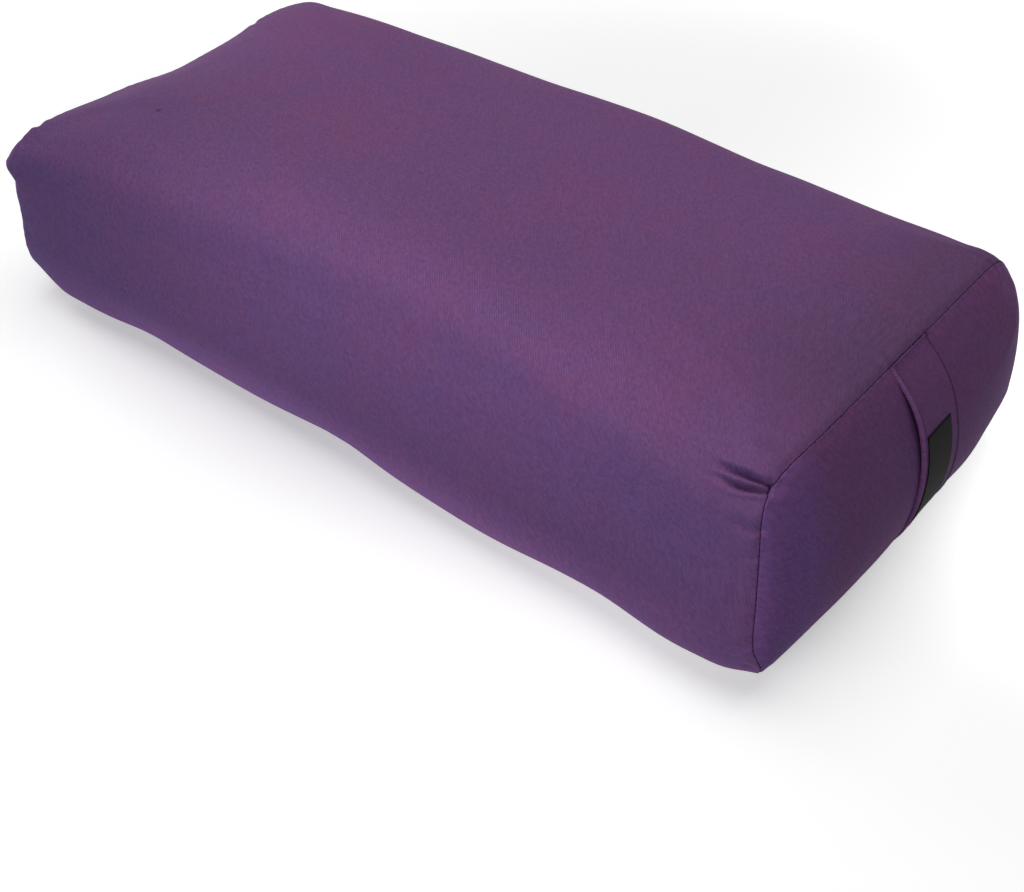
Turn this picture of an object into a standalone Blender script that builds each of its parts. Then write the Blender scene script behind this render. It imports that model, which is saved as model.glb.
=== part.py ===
"""A rectangular yoga bolster: a zipped twill cover with a strap handle on one end, round a padded cushion.

The long side lies along X with the handle at +X, the zip faces +Y, and the origin is on the floor under
the middle. Lengths are in metres. The stuffed form is one formula, and every layer is that form drawn in.
"""

import math

import bmesh
import bpy
from mathutils import Matrix, Vector

# Overall form
SEAM_SPACING = 0.584
MIDDLE_WIDTH = 0.302
END_WIDTH = 0.2924
BOLSTER_HEIGHT = 0.1524
CENTRE_HEIGHT = 0.0745
END_HEIGHT = 0.1206
END_BULGE = 0.0205
FLOOR_CUT = 0.0005
CORNER_DRAW = 0.0062

# How the form fills out: powers and shares of the sizes above
CROWN_POWER = 5.24
MIDDLE_WIDTH_POWER = 7.0
END_WIDTH_POWER = 12.0
MIDDLE_HEIGHT_POWER = 3.12
END_HEIGHT_POWER = 5.23
DOME_EDGE_POWER = 7.4
DOME_HEIGHT_POWER = 2.0
BASE_FLARE_SHARE = 0.049
END_LEAN_SHARE = 0.146
END_POWER = 6
CORNER_WIDTH_POWER = 6
CORNER_HEIGHT_POWER = 4
LOBE_SHARE = 0.107

# The plain end's top edge sinks a little past its middle, and its far corner stands up
DIP_DEPTH = 0.0043
DIP_SET_IN = 0.0046
DIP_OFFSET = 0.035
DIP_REACH = 0.050
CORNER_PUFF = 0.0011
DIP_POWER = 10

# Cloth, clearances and seams
FABRIC = 0.0009
LAYER_GAP = 0.0003
SEAM_GAP = 0.0005
FACET_ROOM = 0.0006
SEAM_ROLL = 0.0025
SEAM_ALLOWANCE = 0.0080
OVERLOCK_WALL = 0.0006
OVERLOCK_LAP = 0.0020
THREAD_RADIUS = 0.0004

# Strap handle and its blank woven label
STRAP_WIDTH = 0.050
STRAP_OFFSET = 0.004
STRAP_END_ROOM = 0.0016
STRAP_SEAT = 0.0007
STRAP_NEAR_STAND_OFF = 0.0072
STRAP_FAR_STAND_OFF = 0.0052
STRAP_BOW_POWER = 2.6
GRIP_LOW_SHARE = -0.74
GRIP_HIGH_SHARE = 0.52
LABEL_WIDTH = 0.028
LABEL_LENGTH = 0.064
LABEL_OFFSET = 0.0025
LABEL_DROP = 0.0080
LABEL_THICKNESS = 0.0006
LABEL_GAP = 0.0006

# Zip
ZIP_SET_IN = 0.052
ZIP_HEIGHT = 0.0465
SLOT_HEIGHT = 0.016
SLOT_END_ROOM = 0.003
TAPE_WIDTH = 0.014
TAPE_THICKNESS = 0.0008
TAPE_END = 0.008
TAPE_SET_BACK = 0.0003
ROW_GAP = 0.0018
COIL_WIDTH = 0.0026
COIL_HEIGHT = 0.0022
COIL_ROUND = 0.0005
STOP_LENGTH = 0.0030
SLIDER_LENGTH = 0.011
SLIDER_PLATE = 0.0009
SLIDER_LIP = 0.0008
SLIDER_NECK = 0.0010
BRIDGE_SPAN = 0.0060
BRIDGE_RISE = 0.0026
BRIDGE_THICKNESS = 0.0010
BRIDGE_WIDTH = 0.0020
PULL_LENGTH = 0.024
PULL_WIDTH = 0.0060
PULL_TIP_WIDTH = 0.0050
PULL_THICKNESS = 0.0012
PULL_BAR = 0.0016
PULL_WINDOW_LENGTH = 0.0050
PULL_WINDOW_WIDTH = 0.0032
PULL_HOLE_LENGTH = 0.0060
PULL_HOLE_WIDTH = 0.0022
PULL_HOLE_INSET = 0.0026
PULL_CHAMFER = 0.0012

# Inner cushion
LINER_SET_BACK = 0.0100
LINER_FABRIC = 0.0007
LINER_EDGE_POWER = 4.0
BATTING_SIDE_THICKNESS = 0.0184
BATTING_FACE_THICKNESS = 0.0025
BATTING_END_THICKNESS = 0.0120
FOAM_CORNER_POWER = 8

# How finely the form is drawn
QUARTER_POINTS = 9
TURN_WEIGHT_SHARE = 0.45
OUTLINE_STEPS = 2000
STATION_SHARES = (0.45, 0.72, 0.88)
DOME_RING_SHARES = (0.95, 0.85, 0.68, 0.42)
LINER_RING_SHARES = (0.90, 0.74, 0.45)
STRAP_COLUMNS = 4
GRIP_ROWS = 8
LEG_ROWS = 4
LABEL_COLUMNS = 2
HOLE_POINTS = 12
SQUARING_ROUNDS = 6
SHARP_DEGREES = 40
WELD_DISTANCE = 0.00001
CUT_OVERRUN = 0.010

# Sizes that follow from the ones above
SEAM_HALF = SEAM_SPACING / 2
END_HALF_WIDTH = END_WIDTH / 2
END_HALF_HEIGHT = END_HEIGHT / 2
CROWN_ABOVE = BOLSTER_HEIGHT - CENTRE_HEIGHT
CROWN_BELOW = CENTRE_HEIGHT + FLOOR_CUT
PANEL_SEAM = SEAM_HALF + SEAM_GAP
PANEL_BASE = PANEL_SEAM + SEAM_ROLL
PANEL_BULGE = END_BULGE - (PANEL_BASE - SEAM_HALF)
STRAP_THICKNESS = 2 * FABRIC
LINER_INSET = FABRIC + FACET_ROOM
BATTING_INSET = LINER_INSET + LINER_FABRIC + FACET_ROOM
LINER_HALF = SEAM_HALF - LINER_SET_BACK
LINER_END_BASE = LINER_HALF + LINER_FABRIC + FACET_ROOM
BATTING_END_BASE = LINER_HALF - FACET_ROOM
FOAM_HALF = LINER_HALF - BATTING_END_THICKNESS
FOAM_HALF_WIDTH = min(MIDDLE_WIDTH, END_WIDTH) / 2 - BATTING_INSET - BATTING_SIDE_THICKNESS
FOAM_HALF_HEIGHT = min(END_HALF_HEIGHT, CROWN_ABOVE, CENTRE_HEIGHT) - BATTING_INSET - BATTING_FACE_THICKNESS
ZIP_HALF = SEAM_HALF - ZIP_SET_IN

bolster = bpy.data.collections.new("rectangular_yoga_bolster")
cutters = bpy.data.collections.new("cutters")


def clear_scene():
    for old in list(bpy.data.objects):
        bpy.data.objects.remove(old)
    for group in (bolster, cutters):
        bpy.context.scene.collection.children.link(group)
    cutters.hide_render = True


def finish_of(name, colour, roughness, metallic=0.0):
    material = bpy.data.materials.new(name)
    material.use_nodes = True
    shader = material.node_tree.nodes["Principled BSDF"]
    shader.inputs["Base Color"].default_value = (*colour, 1.0)
    shader.inputs["Roughness"].default_value = roughness
    shader.inputs["Metallic"].default_value = metallic
    return material


# Building blocks


def new_piece(name, mesh, finish, group=bolster):
    piece = bpy.data.objects.new(name, mesh)
    mesh.materials.clear()
    if finish:
        mesh.materials.append(finish)
    group.objects.link(piece)
    return piece


def mesh_of(name, points, faces, closed):
    """A mesh from points and faces. A closed one has its faces turned out; an open one keeps their order."""
    mesh = bpy.data.meshes.new(name)
    mesh.from_pydata([tuple(point) for point in points], [], faces)
    if closed:
        shape = bmesh.new()
        shape.from_mesh(mesh)
        bmesh.ops.recalc_face_normals(shape, faces=shape.faces)
        shape.to_mesh(mesh)
        shape.free()
    mesh.shade_smooth()
    mesh.set_sharp_from_angle(angle=math.radians(SHARP_DEGREES))
    return mesh


def loft(name, rings, finish, ring_ends="open"):
    """Faces between rings of equal counts. The ends stay open, are capped, or meet each other in a loop.

    A ring of one point is a pole, where the faces meet in a fan.
    """
    points, starts = [], []
    for ring in rings:
        starts.append(len(points))
        points.extend(ring)
    pairs = list(zip(range(len(rings)), range(1, len(rings))))
    if ring_ends == "loop":
        pairs.append((len(rings) - 1, 0))
    faces = []
    for a, b in pairs:
        count = max(len(rings[a]), len(rings[b]))
        for j in range(count):
            k = (j + 1) % count
            if len(rings[a]) == 1:
                faces.append((starts[a], starts[b] + k, starts[b] + j))
            elif len(rings[b]) == 1:
                faces.append((starts[a] + j, starts[a] + k, starts[b]))
            else:
                faces.append((starts[a] + j, starts[a] + k, starts[b] + k, starts[b] + j))
    if ring_ends == "caps":
        if len(rings[0]) > 1:
            faces.append(tuple(range(len(rings[0]))))
        if len(rings[-1]) > 1:
            faces.append(tuple(starts[-1] + j for j in range(len(rings[-1]))))
    return new_piece(name, mesh_of(name, points, faces, ring_ends != "open"), finish)


def patch(name, rows, finish):
    """An open sheet through rows of points that run along +Y, the rows going up, so that it faces +X."""
    width = len(rows[0])
    points = [point for row in rows for point in row]
    faces = []
    for i in range(len(rows) - 1):
        for j in range(width - 1):
            low = i * width + j
            faces.append((low, low + 1, low + width + 1, low + width))
    return new_piece(name, mesh_of(name, points, faces, False), finish)


def block(name, low, high, finish, group=bolster):
    """A box between two corners, with its origin at its middle."""
    low, high = Vector(low), Vector(high)
    mesh = bpy.data.meshes.new(name)
    shape = bmesh.new()
    bmesh.ops.create_cube(shape, size=1.0, matrix=Matrix.Diagonal((*(high - low), 1.0)))
    shape.to_mesh(mesh)
    shape.free()
    piece = new_piece(name, mesh, finish, group)
    piece.location = (low + high) / 2
    return piece


def outline_solid(name, outlines, thickness, place, finish, group=bolster):
    """A flat outline with its holes, drawn in the matrix's own X and Y and given thickness along its Z."""
    drawing = bpy.data.curves.new(name, "CURVE")
    drawing.dimensions = "2D"
    drawing.fill_mode = "BOTH"
    drawing.extrude = thickness / 2
    for outline in outlines:
        spline = drawing.splines.new("POLY")
        spline.points.add(len(outline) - 1)
        for point, (across, up) in zip(spline.points, outline):
            point.co = (across, up, 0.0, 1.0)
        spline.use_cyclic_u = True
    guide = bpy.data.objects.new(name + "_drawing", drawing)
    group.objects.link(guide)
    mesh = bpy.data.meshes.new_from_object(guide.evaluated_get(bpy.context.evaluated_depsgraph_get()))
    bpy.data.objects.remove(guide)
    shape = bmesh.new()
    shape.from_mesh(mesh)
    bmesh.ops.remove_doubles(shape, verts=shape.verts, dist=WELD_DISTANCE)
    bmesh.ops.recalc_face_normals(shape, faces=shape.faces)
    shape.to_mesh(mesh)
    shape.free()
    piece = new_piece(name, mesh, finish, group)
    piece.matrix_world = place
    return piece


def ring_cord(name, ring, radius, finish):
    """A closed tube through a ring of points."""
    line = bpy.data.curves.new(name, "CURVE")
    line.dimensions = "3D"
    line.bevel_depth = radius
    line.bevel_resolution = 1
    spline = line.splines.new("POLY")
    spline.points.add(len(ring) - 1)
    for point, place in zip(spline.points, ring):
        point.co = (*place, 1.0)
    spline.use_cyclic_u = True
    line.materials.append(finish)
    piece = bpy.data.objects.new(name, line)
    bolster.objects.link(piece)
    return piece


def thicken(piece, thickness):
    """Cloth of this thickness, all of it on the inner side of the drawn surface."""
    shell = piece.modifiers.new("thickness", "SOLIDIFY")
    shell.thickness = thickness
    shell.offset = -1.0
    shell.use_even_offset = True


def round_edges(piece, width):
    bevel = piece.modifiers.new("round", "BEVEL")
    bevel.width = width
    bevel.segments = 1


def combine(piece, other, operation):
    change = piece.modifiers.new(operation.lower(), "BOOLEAN")
    change.operation = operation
    change.solver = "EXACT"
    change.use_self = operation == "UNION"
    change.object = other
    other.display_type = "WIRE"
    other.hide_render = True


def carrier(name, place):
    """An empty on a joint's axis, which the moving pieces hang from."""
    empty = bpy.data.objects.new(name, None)
    empty.location = place
    empty.empty_display_size = STRAP_WIDTH
    bolster.objects.link(empty)
    return empty


def carry(piece, empty):
    piece.parent = empty
    piece.matrix_parent_inverse = Matrix.Translation(empty.location).inverted()


# The stuffed form


def between(at_end, at_middle, fullness):
    return at_end + (at_middle - at_end) * fullness


def section_sizes(x, inset):
    """Half width, height above and below the seam line, and the two powers of the section at x."""
    fullness = 1.0 - min(abs(x) / SEAM_HALF, 1.0) ** CROWN_POWER
    half_width = between(END_HALF_WIDTH, MIDDLE_WIDTH / 2, fullness) - inset
    above = between(END_HALF_HEIGHT, CROWN_ABOVE, fullness) - inset
    below = between(END_HALF_HEIGHT, CROWN_BELOW, fullness) - inset
    width_power = between(END_WIDTH_POWER, MIDDLE_WIDTH_POWER, fullness)
    height_power = between(END_HEIGHT_POWER, MIDDLE_HEIGHT_POWER, fullness)
    return half_width, above, below, width_power, height_power


def section_point(x, turn, inset, back_room=0.0):
    """A point of the even section at x: across and up from its middle, before the filling settles."""
    half_width, above, below, width_power, height_power = section_sizes(x, inset)
    across, up = math.cos(turn), math.sin(turn)
    y = math.copysign(abs(across) ** (2 / width_power), across) * half_width
    z = math.copysign(abs(up) ** (2 / height_power), up) * (above if up > 0 else below)
    if y > 0:
        y *= 1 - back_room / half_width
    return y, max(z, inset - CENTRE_HEIGHT)


def settle(x, y, z):
    """A point of the even form where the stuffed cover takes it, measured from the floor."""
    y *= 1 - BASE_FLARE_SHARE * z / END_HALF_HEIGHT
    end = math.copysign(min(abs(x) / SEAM_HALF, 1.0) ** END_POWER, x)
    x -= end * END_LEAN_SHARE * z
    out = min(abs(y) / END_HALF_WIDTH, 1.0) ** CORNER_WIDTH_POWER
    off_level = min(abs(z) / END_HALF_HEIGHT, 1.0) ** CORNER_HEIGHT_POWER
    x -= end * CORNER_DRAW * out * off_level
    plain_end = min(max(-x / SEAM_HALF, 0.0), 1.0) ** DIP_POWER
    plain_end *= min(max(z / END_HALF_HEIGHT, 0.0), 1.0)
    dip = plain_end * math.exp(-(((y - DIP_OFFSET) / DIP_REACH) ** 2))
    far = min(max(y / END_HALF_WIDTH, 0.0), 1.0) ** 3
    x += DIP_SET_IN * dip
    z += CORNER_PUFF * plain_end * far - DIP_DEPTH * dip
    return Vector((x, y, z + CENTRE_HEIGHT))


def section_turns():
    """Angles for the points round a section, closer together where the outline turns."""
    fine = [math.pi / 2 * i / OUTLINE_STEPS for i in range(OUTLINE_STEPS + 1)]
    outline = [Vector(section_point(0.0, turn, 0.0)) for turn in fine]
    steps = [b - a for a, b in zip(outline, outline[1:])]
    lengths = [step.length for step in steps]
    bends = [0.0] + [a.angle(b, 0.0) for a, b in zip(steps, steps[1:])]
    reach, whole_length, whole_bend = [0.0], sum(lengths), sum(bends)
    for length, bend in zip(lengths, bends):
        by_length = (1 - TURN_WEIGHT_SHARE) * length / whole_length
        reach.append(reach[-1] + by_length + TURN_WEIGHT_SHARE * bend / whole_bend)
    quarter, i = [], 0
    for step in range(QUARTER_POINTS):
        while reach[i] < step / QUARTER_POINTS:
            i += 1
        quarter.append(fine[i])
    mirrored = [math.pi - turn for turn in reversed(quarter[1:])]
    upper = quarter + [math.pi / 2] + mirrored + [math.pi]
    return upper + [2 * math.pi - turn for turn in reversed(upper[1:-1])]


TURNS = section_turns()


def ring_at(x, inset, back_room=0.0):
    """A ring of the settled form round the section at x."""
    ring = []
    for turn in TURNS:
        y, z = section_point(x, turn, inset, back_room)
        ring.append(settle(x, y, z))
    return ring


def dome_rise(ring_share, y, z, edge_power):
    """How far a dome has risen, as a share of its bulge: 0 at its seam, and about 1 at its middle."""
    level = 1 - min(abs(z) / END_HALF_HEIGHT, 1.0) ** DOME_HEIGHT_POWER
    lobe = 1 + LOBE_SHARE * math.sin(math.pi * max(-1.0, min(y / END_HALF_WIDTH, 1.0)))
    return (1 - ring_share**edge_power) * level * lobe


def dome_rings(side, base, bulge, inset, shares, edge_power, back_room=0.0):
    """Rings of an end dome from its seam at base to its pole. side is 1 at the handle end, -1 at the other."""
    rings = []
    for share in (1.0, *shares):
        ring = []
        for turn in TURNS:
            y, z = section_point(base, turn, inset, back_room)
            rise = dome_rise(share, y * share, z * share, edge_power)
            ring.append(settle(side * (base + bulge * rise), y * share, z * share))
        rings.append(ring)
    rings.append([settle(side * (base + bulge * dome_rise(0.0, 0.0, 0.0, edge_power)), 0.0, 0.0)])
    return rings


def towards(side, rings):
    """The rings in the order that turns their faces out at this end."""
    return rings if side > 0 else rings[::-1]


def panel_point(y, z, stand_off):
    """A point this far out from the handle end's panel."""
    ring_share = max(abs(y) / END_HALF_WIDTH, abs(z) / END_HALF_HEIGHT)
    rise = dome_rise(ring_share, y, z, DOME_EDGE_POWER)
    return settle(PANEL_BASE + PANEL_BULGE * rise + stand_off, y, z)


def both_ways(stations):
    """Places along the bolster, mirrored about its middle."""
    return [-x for x in reversed(stations)] + [0.0] + list(stations)


def cover_back(x, height):
    """How far out the back of the cover stands, at x and at this height above the floor."""
    z = height - CENTRE_HEIGHT
    half_width, above, below, width_power, height_power = section_sizes(x, 0.0)
    share = abs(z) / (above if z > 0 else below)
    y = half_width * (1 - share**height_power) ** (1 / width_power)
    return y * (1 - BASE_FLARE_SHARE * z / END_HALF_HEIGHT)


# Where the zip lies: its tapes sit behind the cover, clear of where it stands out least
TAPE_REACH = ROW_GAP / 2 + TAPE_SET_BACK + TAPE_WIDTH
TAPE_HALF = ZIP_HALF + TAPE_END
BACK_ROUND_ZIP = [
    cover_back(x, ZIP_HEIGHT + side * TAPE_REACH) for x in (0.0, TAPE_HALF) for side in (-1, 0, 1)
]
TAPE_FRONT = min(BACK_ROUND_ZIP) - FABRIC - LAYER_GAP - FACET_ROOM
TAPE_BACK = TAPE_FRONT - TAPE_THICKNESS
COIL_BACK = TAPE_FRONT + LAYER_GAP
COIL_FRONT = COIL_BACK + COIL_HEIGHT
COIL_OUTER = ROW_GAP / 2 + COIL_WIDTH
SLIDER_BACK = TAPE_BACK - LAYER_GAP - SLIDER_PLATE
SLIDER_FACE = COIL_FRONT + LAYER_GAP + SLIDER_PLATE
SLIDER_REST = ZIP_HALF - STOP_LENGTH - 2 * LAYER_GAP - SLIDER_LENGTH / 2
ZIP_ROOM = max(BACK_ROUND_ZIP) - LINER_INSET - (SLIDER_BACK - LAYER_GAP)
HINGE_OUT = SLIDER_FACE + BRIDGE_RISE / 2


# Cover


def make_cover_wrap(finish):
    """Top, sides and underside in one length of cloth, its raw edges turned in, and slotted for the zip."""
    inner = [share * SEAM_HALF for share in STATION_SHARES]
    rings = [ring_at(x, 0.0) for x in both_ways(inner + [LINER_HALF, SEAM_HALF - SEAM_ROLL])]
    for side in (-1, 1):
        turned_in = [ring_at(side * SEAM_HALF, inset) for inset in (SEAM_ROLL, SEAM_ALLOWANCE)]
        rings = turned_in[::-1] + rings if side < 0 else rings + turned_in
    wrap = loft("cover_wrap", rings, finish)
    thicken(wrap, FABRIC)
    reach = ZIP_HALF + SLOT_END_ROOM
    bottom, top = ZIP_HEIGHT - SLOT_HEIGHT / 2, ZIP_HEIGHT + SLOT_HEIGHT / 2
    outside = MIDDLE_WIDTH / 2 + CUT_OVERRUN
    slot = block("zip_slot", (-reach, TAPE_BACK, bottom), (reach, outside, top), None, cutters)
    combine(wrap, slot, "DIFFERENCE")


def make_cover_end(name, side, finish):
    """A domed end panel, with its raw edge turned in against the wrap's."""
    seam = [ring_at(side * PANEL_SEAM, inset) for inset in (SEAM_ALLOWANCE, SEAM_ROLL)]
    rings = seam + dome_rings(side, PANEL_BASE, PANEL_BULGE, 0.0, DOME_RING_SHARES, DOME_EDGE_POWER)
    panel = loft(name, towards(side, rings), finish)
    thicken(panel, FABRIC)


def make_seam_overlock(name, side, finish):
    """Overlocked stitching, drawn as a channel that holds both raw edges of one end seam together."""
    cloth_inner = SEAM_HALF - FABRIC
    cloth_outer = PANEL_SEAM + FABRIC
    room = 2 * LAYER_GAP
    lap = SEAM_ALLOWANCE - OVERLOCK_LAP
    root = SEAM_ALLOWANCE + room
    profile = [
        (cloth_inner - room - OVERLOCK_WALL, lap),
        (cloth_inner - room, lap),
        (cloth_inner - room, root),
        (cloth_outer + room, root),
        (cloth_outer + room, lap),
        (cloth_outer + room + OVERLOCK_WALL, lap),
        (cloth_outer + room + OVERLOCK_WALL, root + OVERLOCK_WALL),
        (cloth_inner - room - OVERLOCK_WALL, root + OVERLOCK_WALL),
    ]
    return loft(name, [flat_ring(side * x, inset) for x, inset in profile], finish, "loop")


def flat_ring(x, inset):
    """A ring with the end section's outline, also a little short of the end."""
    ring = []
    for turn in TURNS:
        y, z = section_point(SEAM_HALF, turn, inset)
        place = settle(math.copysign(SEAM_HALF, x), y, z)
        ring.append(place + Vector((x - math.copysign(SEAM_HALF, x), 0.0, 0.0)))
    return ring


def make_seam_thread(name, side, finish):
    """The seam's thread, lying at the bottom of the groove between the two rolled edges."""
    depth = SEAM_ROLL + SEAM_GAP / 2 - math.sqrt(2) * (THREAD_RADIUS + SEAM_GAP)
    return ring_cord(name, flat_ring(side * (SEAM_HALF + SEAM_GAP / 2), depth), THREAD_RADIUS, finish)


# Strap handle


def strap_point(y, share, lift):
    """A point on the strap's path: share runs from -1 at the lower seam to 1 at the upper one."""
    across = (y - STRAP_OFFSET) / STRAP_WIDTH + 0.5
    most = between(STRAP_NEAR_STAND_OFF, STRAP_FAR_STAND_OFF, across)
    stand_off = STRAP_SEAT + (most - STRAP_SEAT) * (1 - abs(share) ** STRAP_BOW_POWER)
    return panel_point(y, share * (END_HALF_HEIGHT - STRAP_END_ROOM), stand_off + lift)


def make_strap(name, low_share, high_share, row_count, finish):
    """A stretch of the strap, its outer face drawn and its thickness behind it."""
    rows = []
    for i in range(row_count + 1):
        share = between(low_share, high_share, i / row_count)
        row = []
        for j in range(STRAP_COLUMNS + 1):
            y = STRAP_OFFSET + STRAP_WIDTH * (j / STRAP_COLUMNS - 0.5)
            row.append(strap_point(y, share, STRAP_THICKNESS))
        rows.append(row)
    strap = patch(name, rows, finish)
    thicken(strap, STRAP_THICKNESS)
    return strap


def make_label(name, finish):
    """A blank woven label, sewn flat on the strap."""
    middle = -LABEL_DROP / END_HALF_HEIGHT
    reach = LABEL_LENGTH / 2 / END_HALF_HEIGHT
    centre = STRAP_OFFSET + LABEL_OFFSET
    lift = STRAP_THICKNESS + LABEL_GAP + LABEL_THICKNESS
    rows = []
    for i in range(GRIP_ROWS + 1):
        share = middle + reach * (2 * i / GRIP_ROWS - 1)
        row = []
        for j in range(LABEL_COLUMNS + 1):
            y = centre + LABEL_WIDTH * (j / LABEL_COLUMNS - 0.5)
            row.append(strap_point(y, share, lift))
        rows.append(row)
    label = patch(name, rows, finish)
    thicken(label, LABEL_THICKNESS)
    return label


def make_handle(cover_finish, label_finish):
    part = LAYER_GAP / END_HALF_HEIGHT
    make_strap("handle_upper_leg", GRIP_HIGH_SHARE + part, 1.0, LEG_ROWS, cover_finish)
    make_strap("handle_lower_leg", -1.0, GRIP_LOW_SHARE - part, LEG_ROWS, cover_finish)
    grip = make_strap("handle_grip", GRIP_LOW_SHARE + part, GRIP_HIGH_SHARE - part, GRIP_ROWS, cover_finish)
    label = make_label("woven_label", label_finish)
    lifted = carrier("handle_lift", strap_point(STRAP_OFFSET, 0.0, 0.0))
    carry(grip, lifted)
    carry(label, lifted)


# Zip


def make_zip_side(name, side, tape_finish, coil_finish):
    """One tape with its row of coil. side is 1 above and -1 below."""
    edge = side * (ROW_GAP / 2 + TAPE_SET_BACK)
    far = edge + side * TAPE_WIDTH
    low, high = ZIP_HEIGHT + min(edge, far), ZIP_HEIGHT + max(edge, far)
    block("zip_tape_" + name, (-TAPE_HALF, TAPE_BACK, low), (TAPE_HALF, TAPE_FRONT, high), tape_finish)
    low, high = zip_band(side)
    reach = ZIP_HALF - STOP_LENGTH - LAYER_GAP
    coil = block("zip_coil_" + name, (-reach, COIL_BACK, low), (reach, COIL_FRONT, high), coil_finish)
    round_edges(coil, COIL_ROUND)


def zip_band(side):
    """The heights between which one row of coil lies."""
    ends = (side * ROW_GAP / 2, side * COIL_OUTER)
    return ZIP_HEIGHT + min(ends), ZIP_HEIGHT + max(ends)


def make_zip_stops(finish):
    for name, side in (("upper", 1), ("lower", -1)):
        low, high = zip_band(side)
        near, far = ZIP_HALF - STOP_LENGTH, ZIP_HALF
        stop = block("zip_top_stop_" + name, (near, COIL_BACK, low), (far, COIL_FRONT, high), finish)
        round_edges(stop, COIL_ROUND)
    low, high = ZIP_HEIGHT - COIL_OUTER, ZIP_HEIGHT + COIL_OUTER
    near, far = -ZIP_HALF, -ZIP_HALF + STOP_LENGTH
    stop = block("zip_bottom_stop", (near, COIL_BACK, low), (far, COIL_FRONT, high), finish)
    round_edges(stop, COIL_ROUND)


def make_zip_slider(finish):
    """Two plates joined by a neck that runs between the rows, with a bridge for the pull."""
    half = COIL_OUTER + LAYER_GAP + SLIDER_LIP
    lip_inner = half - SLIDER_LIP
    neck = SLIDER_NECK / 2
    back, back_inner = SLIDER_BACK - TAPE_FRONT, SLIDER_BACK + SLIDER_PLATE - TAPE_FRONT
    face, face_inner = SLIDER_FACE - TAPE_FRONT, SLIDER_FACE - SLIDER_PLATE - TAPE_FRONT
    lip_end = LAYER_GAP
    upper = [
        (back, half),
        (back_inner, half),
        (back_inner, neck),
        (face_inner, neck),
        (face_inner, lip_inner),
        (lip_end, lip_inner),
        (lip_end, half),
        (face, half),
    ]
    section = upper + [(out, -up) for out, up in reversed(upper)]
    place = Vector((SLIDER_REST, TAPE_FRONT, ZIP_HEIGHT))
    along_x = Matrix(((0, 0, 1, 0), (1, 0, 0, 0), (0, 1, 0, 0), (0, 0, 0, 1)))
    slider = outline_solid("zip_slider", [section], SLIDER_LENGTH, Matrix.Translation(place) @ along_x, finish)
    foot = BRIDGE_SPAN / 2
    under, top = face + BRIDGE_RISE, face + BRIDGE_RISE + BRIDGE_THICKNESS
    base = face - SLIDER_PLATE / 2
    right = [(foot, base), (foot + BRIDGE_THICKNESS, base), (foot + BRIDGE_THICKNESS, under), (foot, top)]
    arch = right + [(-out, up) for out, up in reversed(right)] + [(-foot, under), (foot, under)]
    bridge = outline_solid("zip_bridge", [arch], BRIDGE_WIDTH, Matrix.Translation(place), None, cutters)
    combine(slider, bridge, "UNION")
    return slider


def make_zip_pull(finish):
    """A flat tab whose eye closes round the slider's bridge, lying back along the zip."""
    bar = PULL_BAR / 2
    eye, tip = PULL_WIDTH / 2, PULL_TIP_WIDTH / 2
    upper = [
        (bar, eye),
        (-PULL_WINDOW_LENGTH, eye),
        (PULL_CHAMFER - PULL_LENGTH, tip),
        (-PULL_LENGTH, tip - PULL_CHAMFER),
    ]
    tab = upper + [(along, -up) for along, up in reversed(upper)]
    window_half = PULL_WINDOW_WIDTH / 2
    window = [
        (-bar, window_half),
        (-bar, -window_half),
        (-PULL_WINDOW_LENGTH, -window_half),
        (-PULL_WINDOW_LENGTH, window_half),
    ]
    middle = PULL_HOLE_INSET + PULL_HOLE_LENGTH / 2 - PULL_LENGTH
    hole = []
    for i in range(HOLE_POINTS):
        turn = 2 * math.pi * i / HOLE_POINTS
        hole.append((middle + PULL_HOLE_LENGTH / 2 * math.cos(turn), PULL_HOLE_WIDTH / 2 * math.sin(turn)))
    place = Matrix.Translation((SLIDER_REST, HINGE_OUT, ZIP_HEIGHT)) @ Matrix.Rotation(math.pi / 2, 4, "X")
    return outline_solid("zip_pull", [tab, window, hole], PULL_THICKNESS, place, finish)


def make_zip(tape_finish, coil_finish, metal_finish):
    make_zip_side("upper", 1, tape_finish, coil_finish)
    make_zip_side("lower", -1, tape_finish, coil_finish)
    make_zip_stops(metal_finish)
    slider = make_zip_slider(metal_finish)
    pull = make_zip_pull(metal_finish)
    run = carrier("zip_run", (SLIDER_REST, TAPE_FRONT, ZIP_HEIGHT))
    hinge = carrier("zip_pull_hinge", (SLIDER_REST, HINGE_OUT, ZIP_HEIGHT))
    carry(slider, run)
    carry(hinge, run)
    carry(pull, hinge)


# Inner cushion


def make_liner(finish):
    """The inner case: a sleeve closed by two soft domes, drawn in clear of the cover's seams and zip."""
    inner = [share * SEAM_HALF for share in STATION_SHARES]
    rings = [ring_at(x, LINER_INSET, ZIP_ROOM) for x in both_ways(inner + [LINER_HALF])]
    thicken(loft("liner_wrap", rings, finish), LINER_FABRIC)
    for name, side in (("liner_end_handle", 1), ("liner_end_plain", -1)):
        end = loft(name, towards(side, liner_dome(side, LINER_END_BASE, LINER_INSET)), finish)
        thicken(end, LINER_FABRIC)


def liner_dome(side, base, inset):
    """Rings of the liner's dome, which reaches the inside of the cover's panel at its middle."""
    bulge = PANEL_BASE + PANEL_BULGE - LINER_INSET - LINER_END_BASE
    return dome_rings(side, base, bulge, inset, LINER_RING_SHARES, LINER_EDGE_POWER, ZIP_ROOM)


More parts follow.
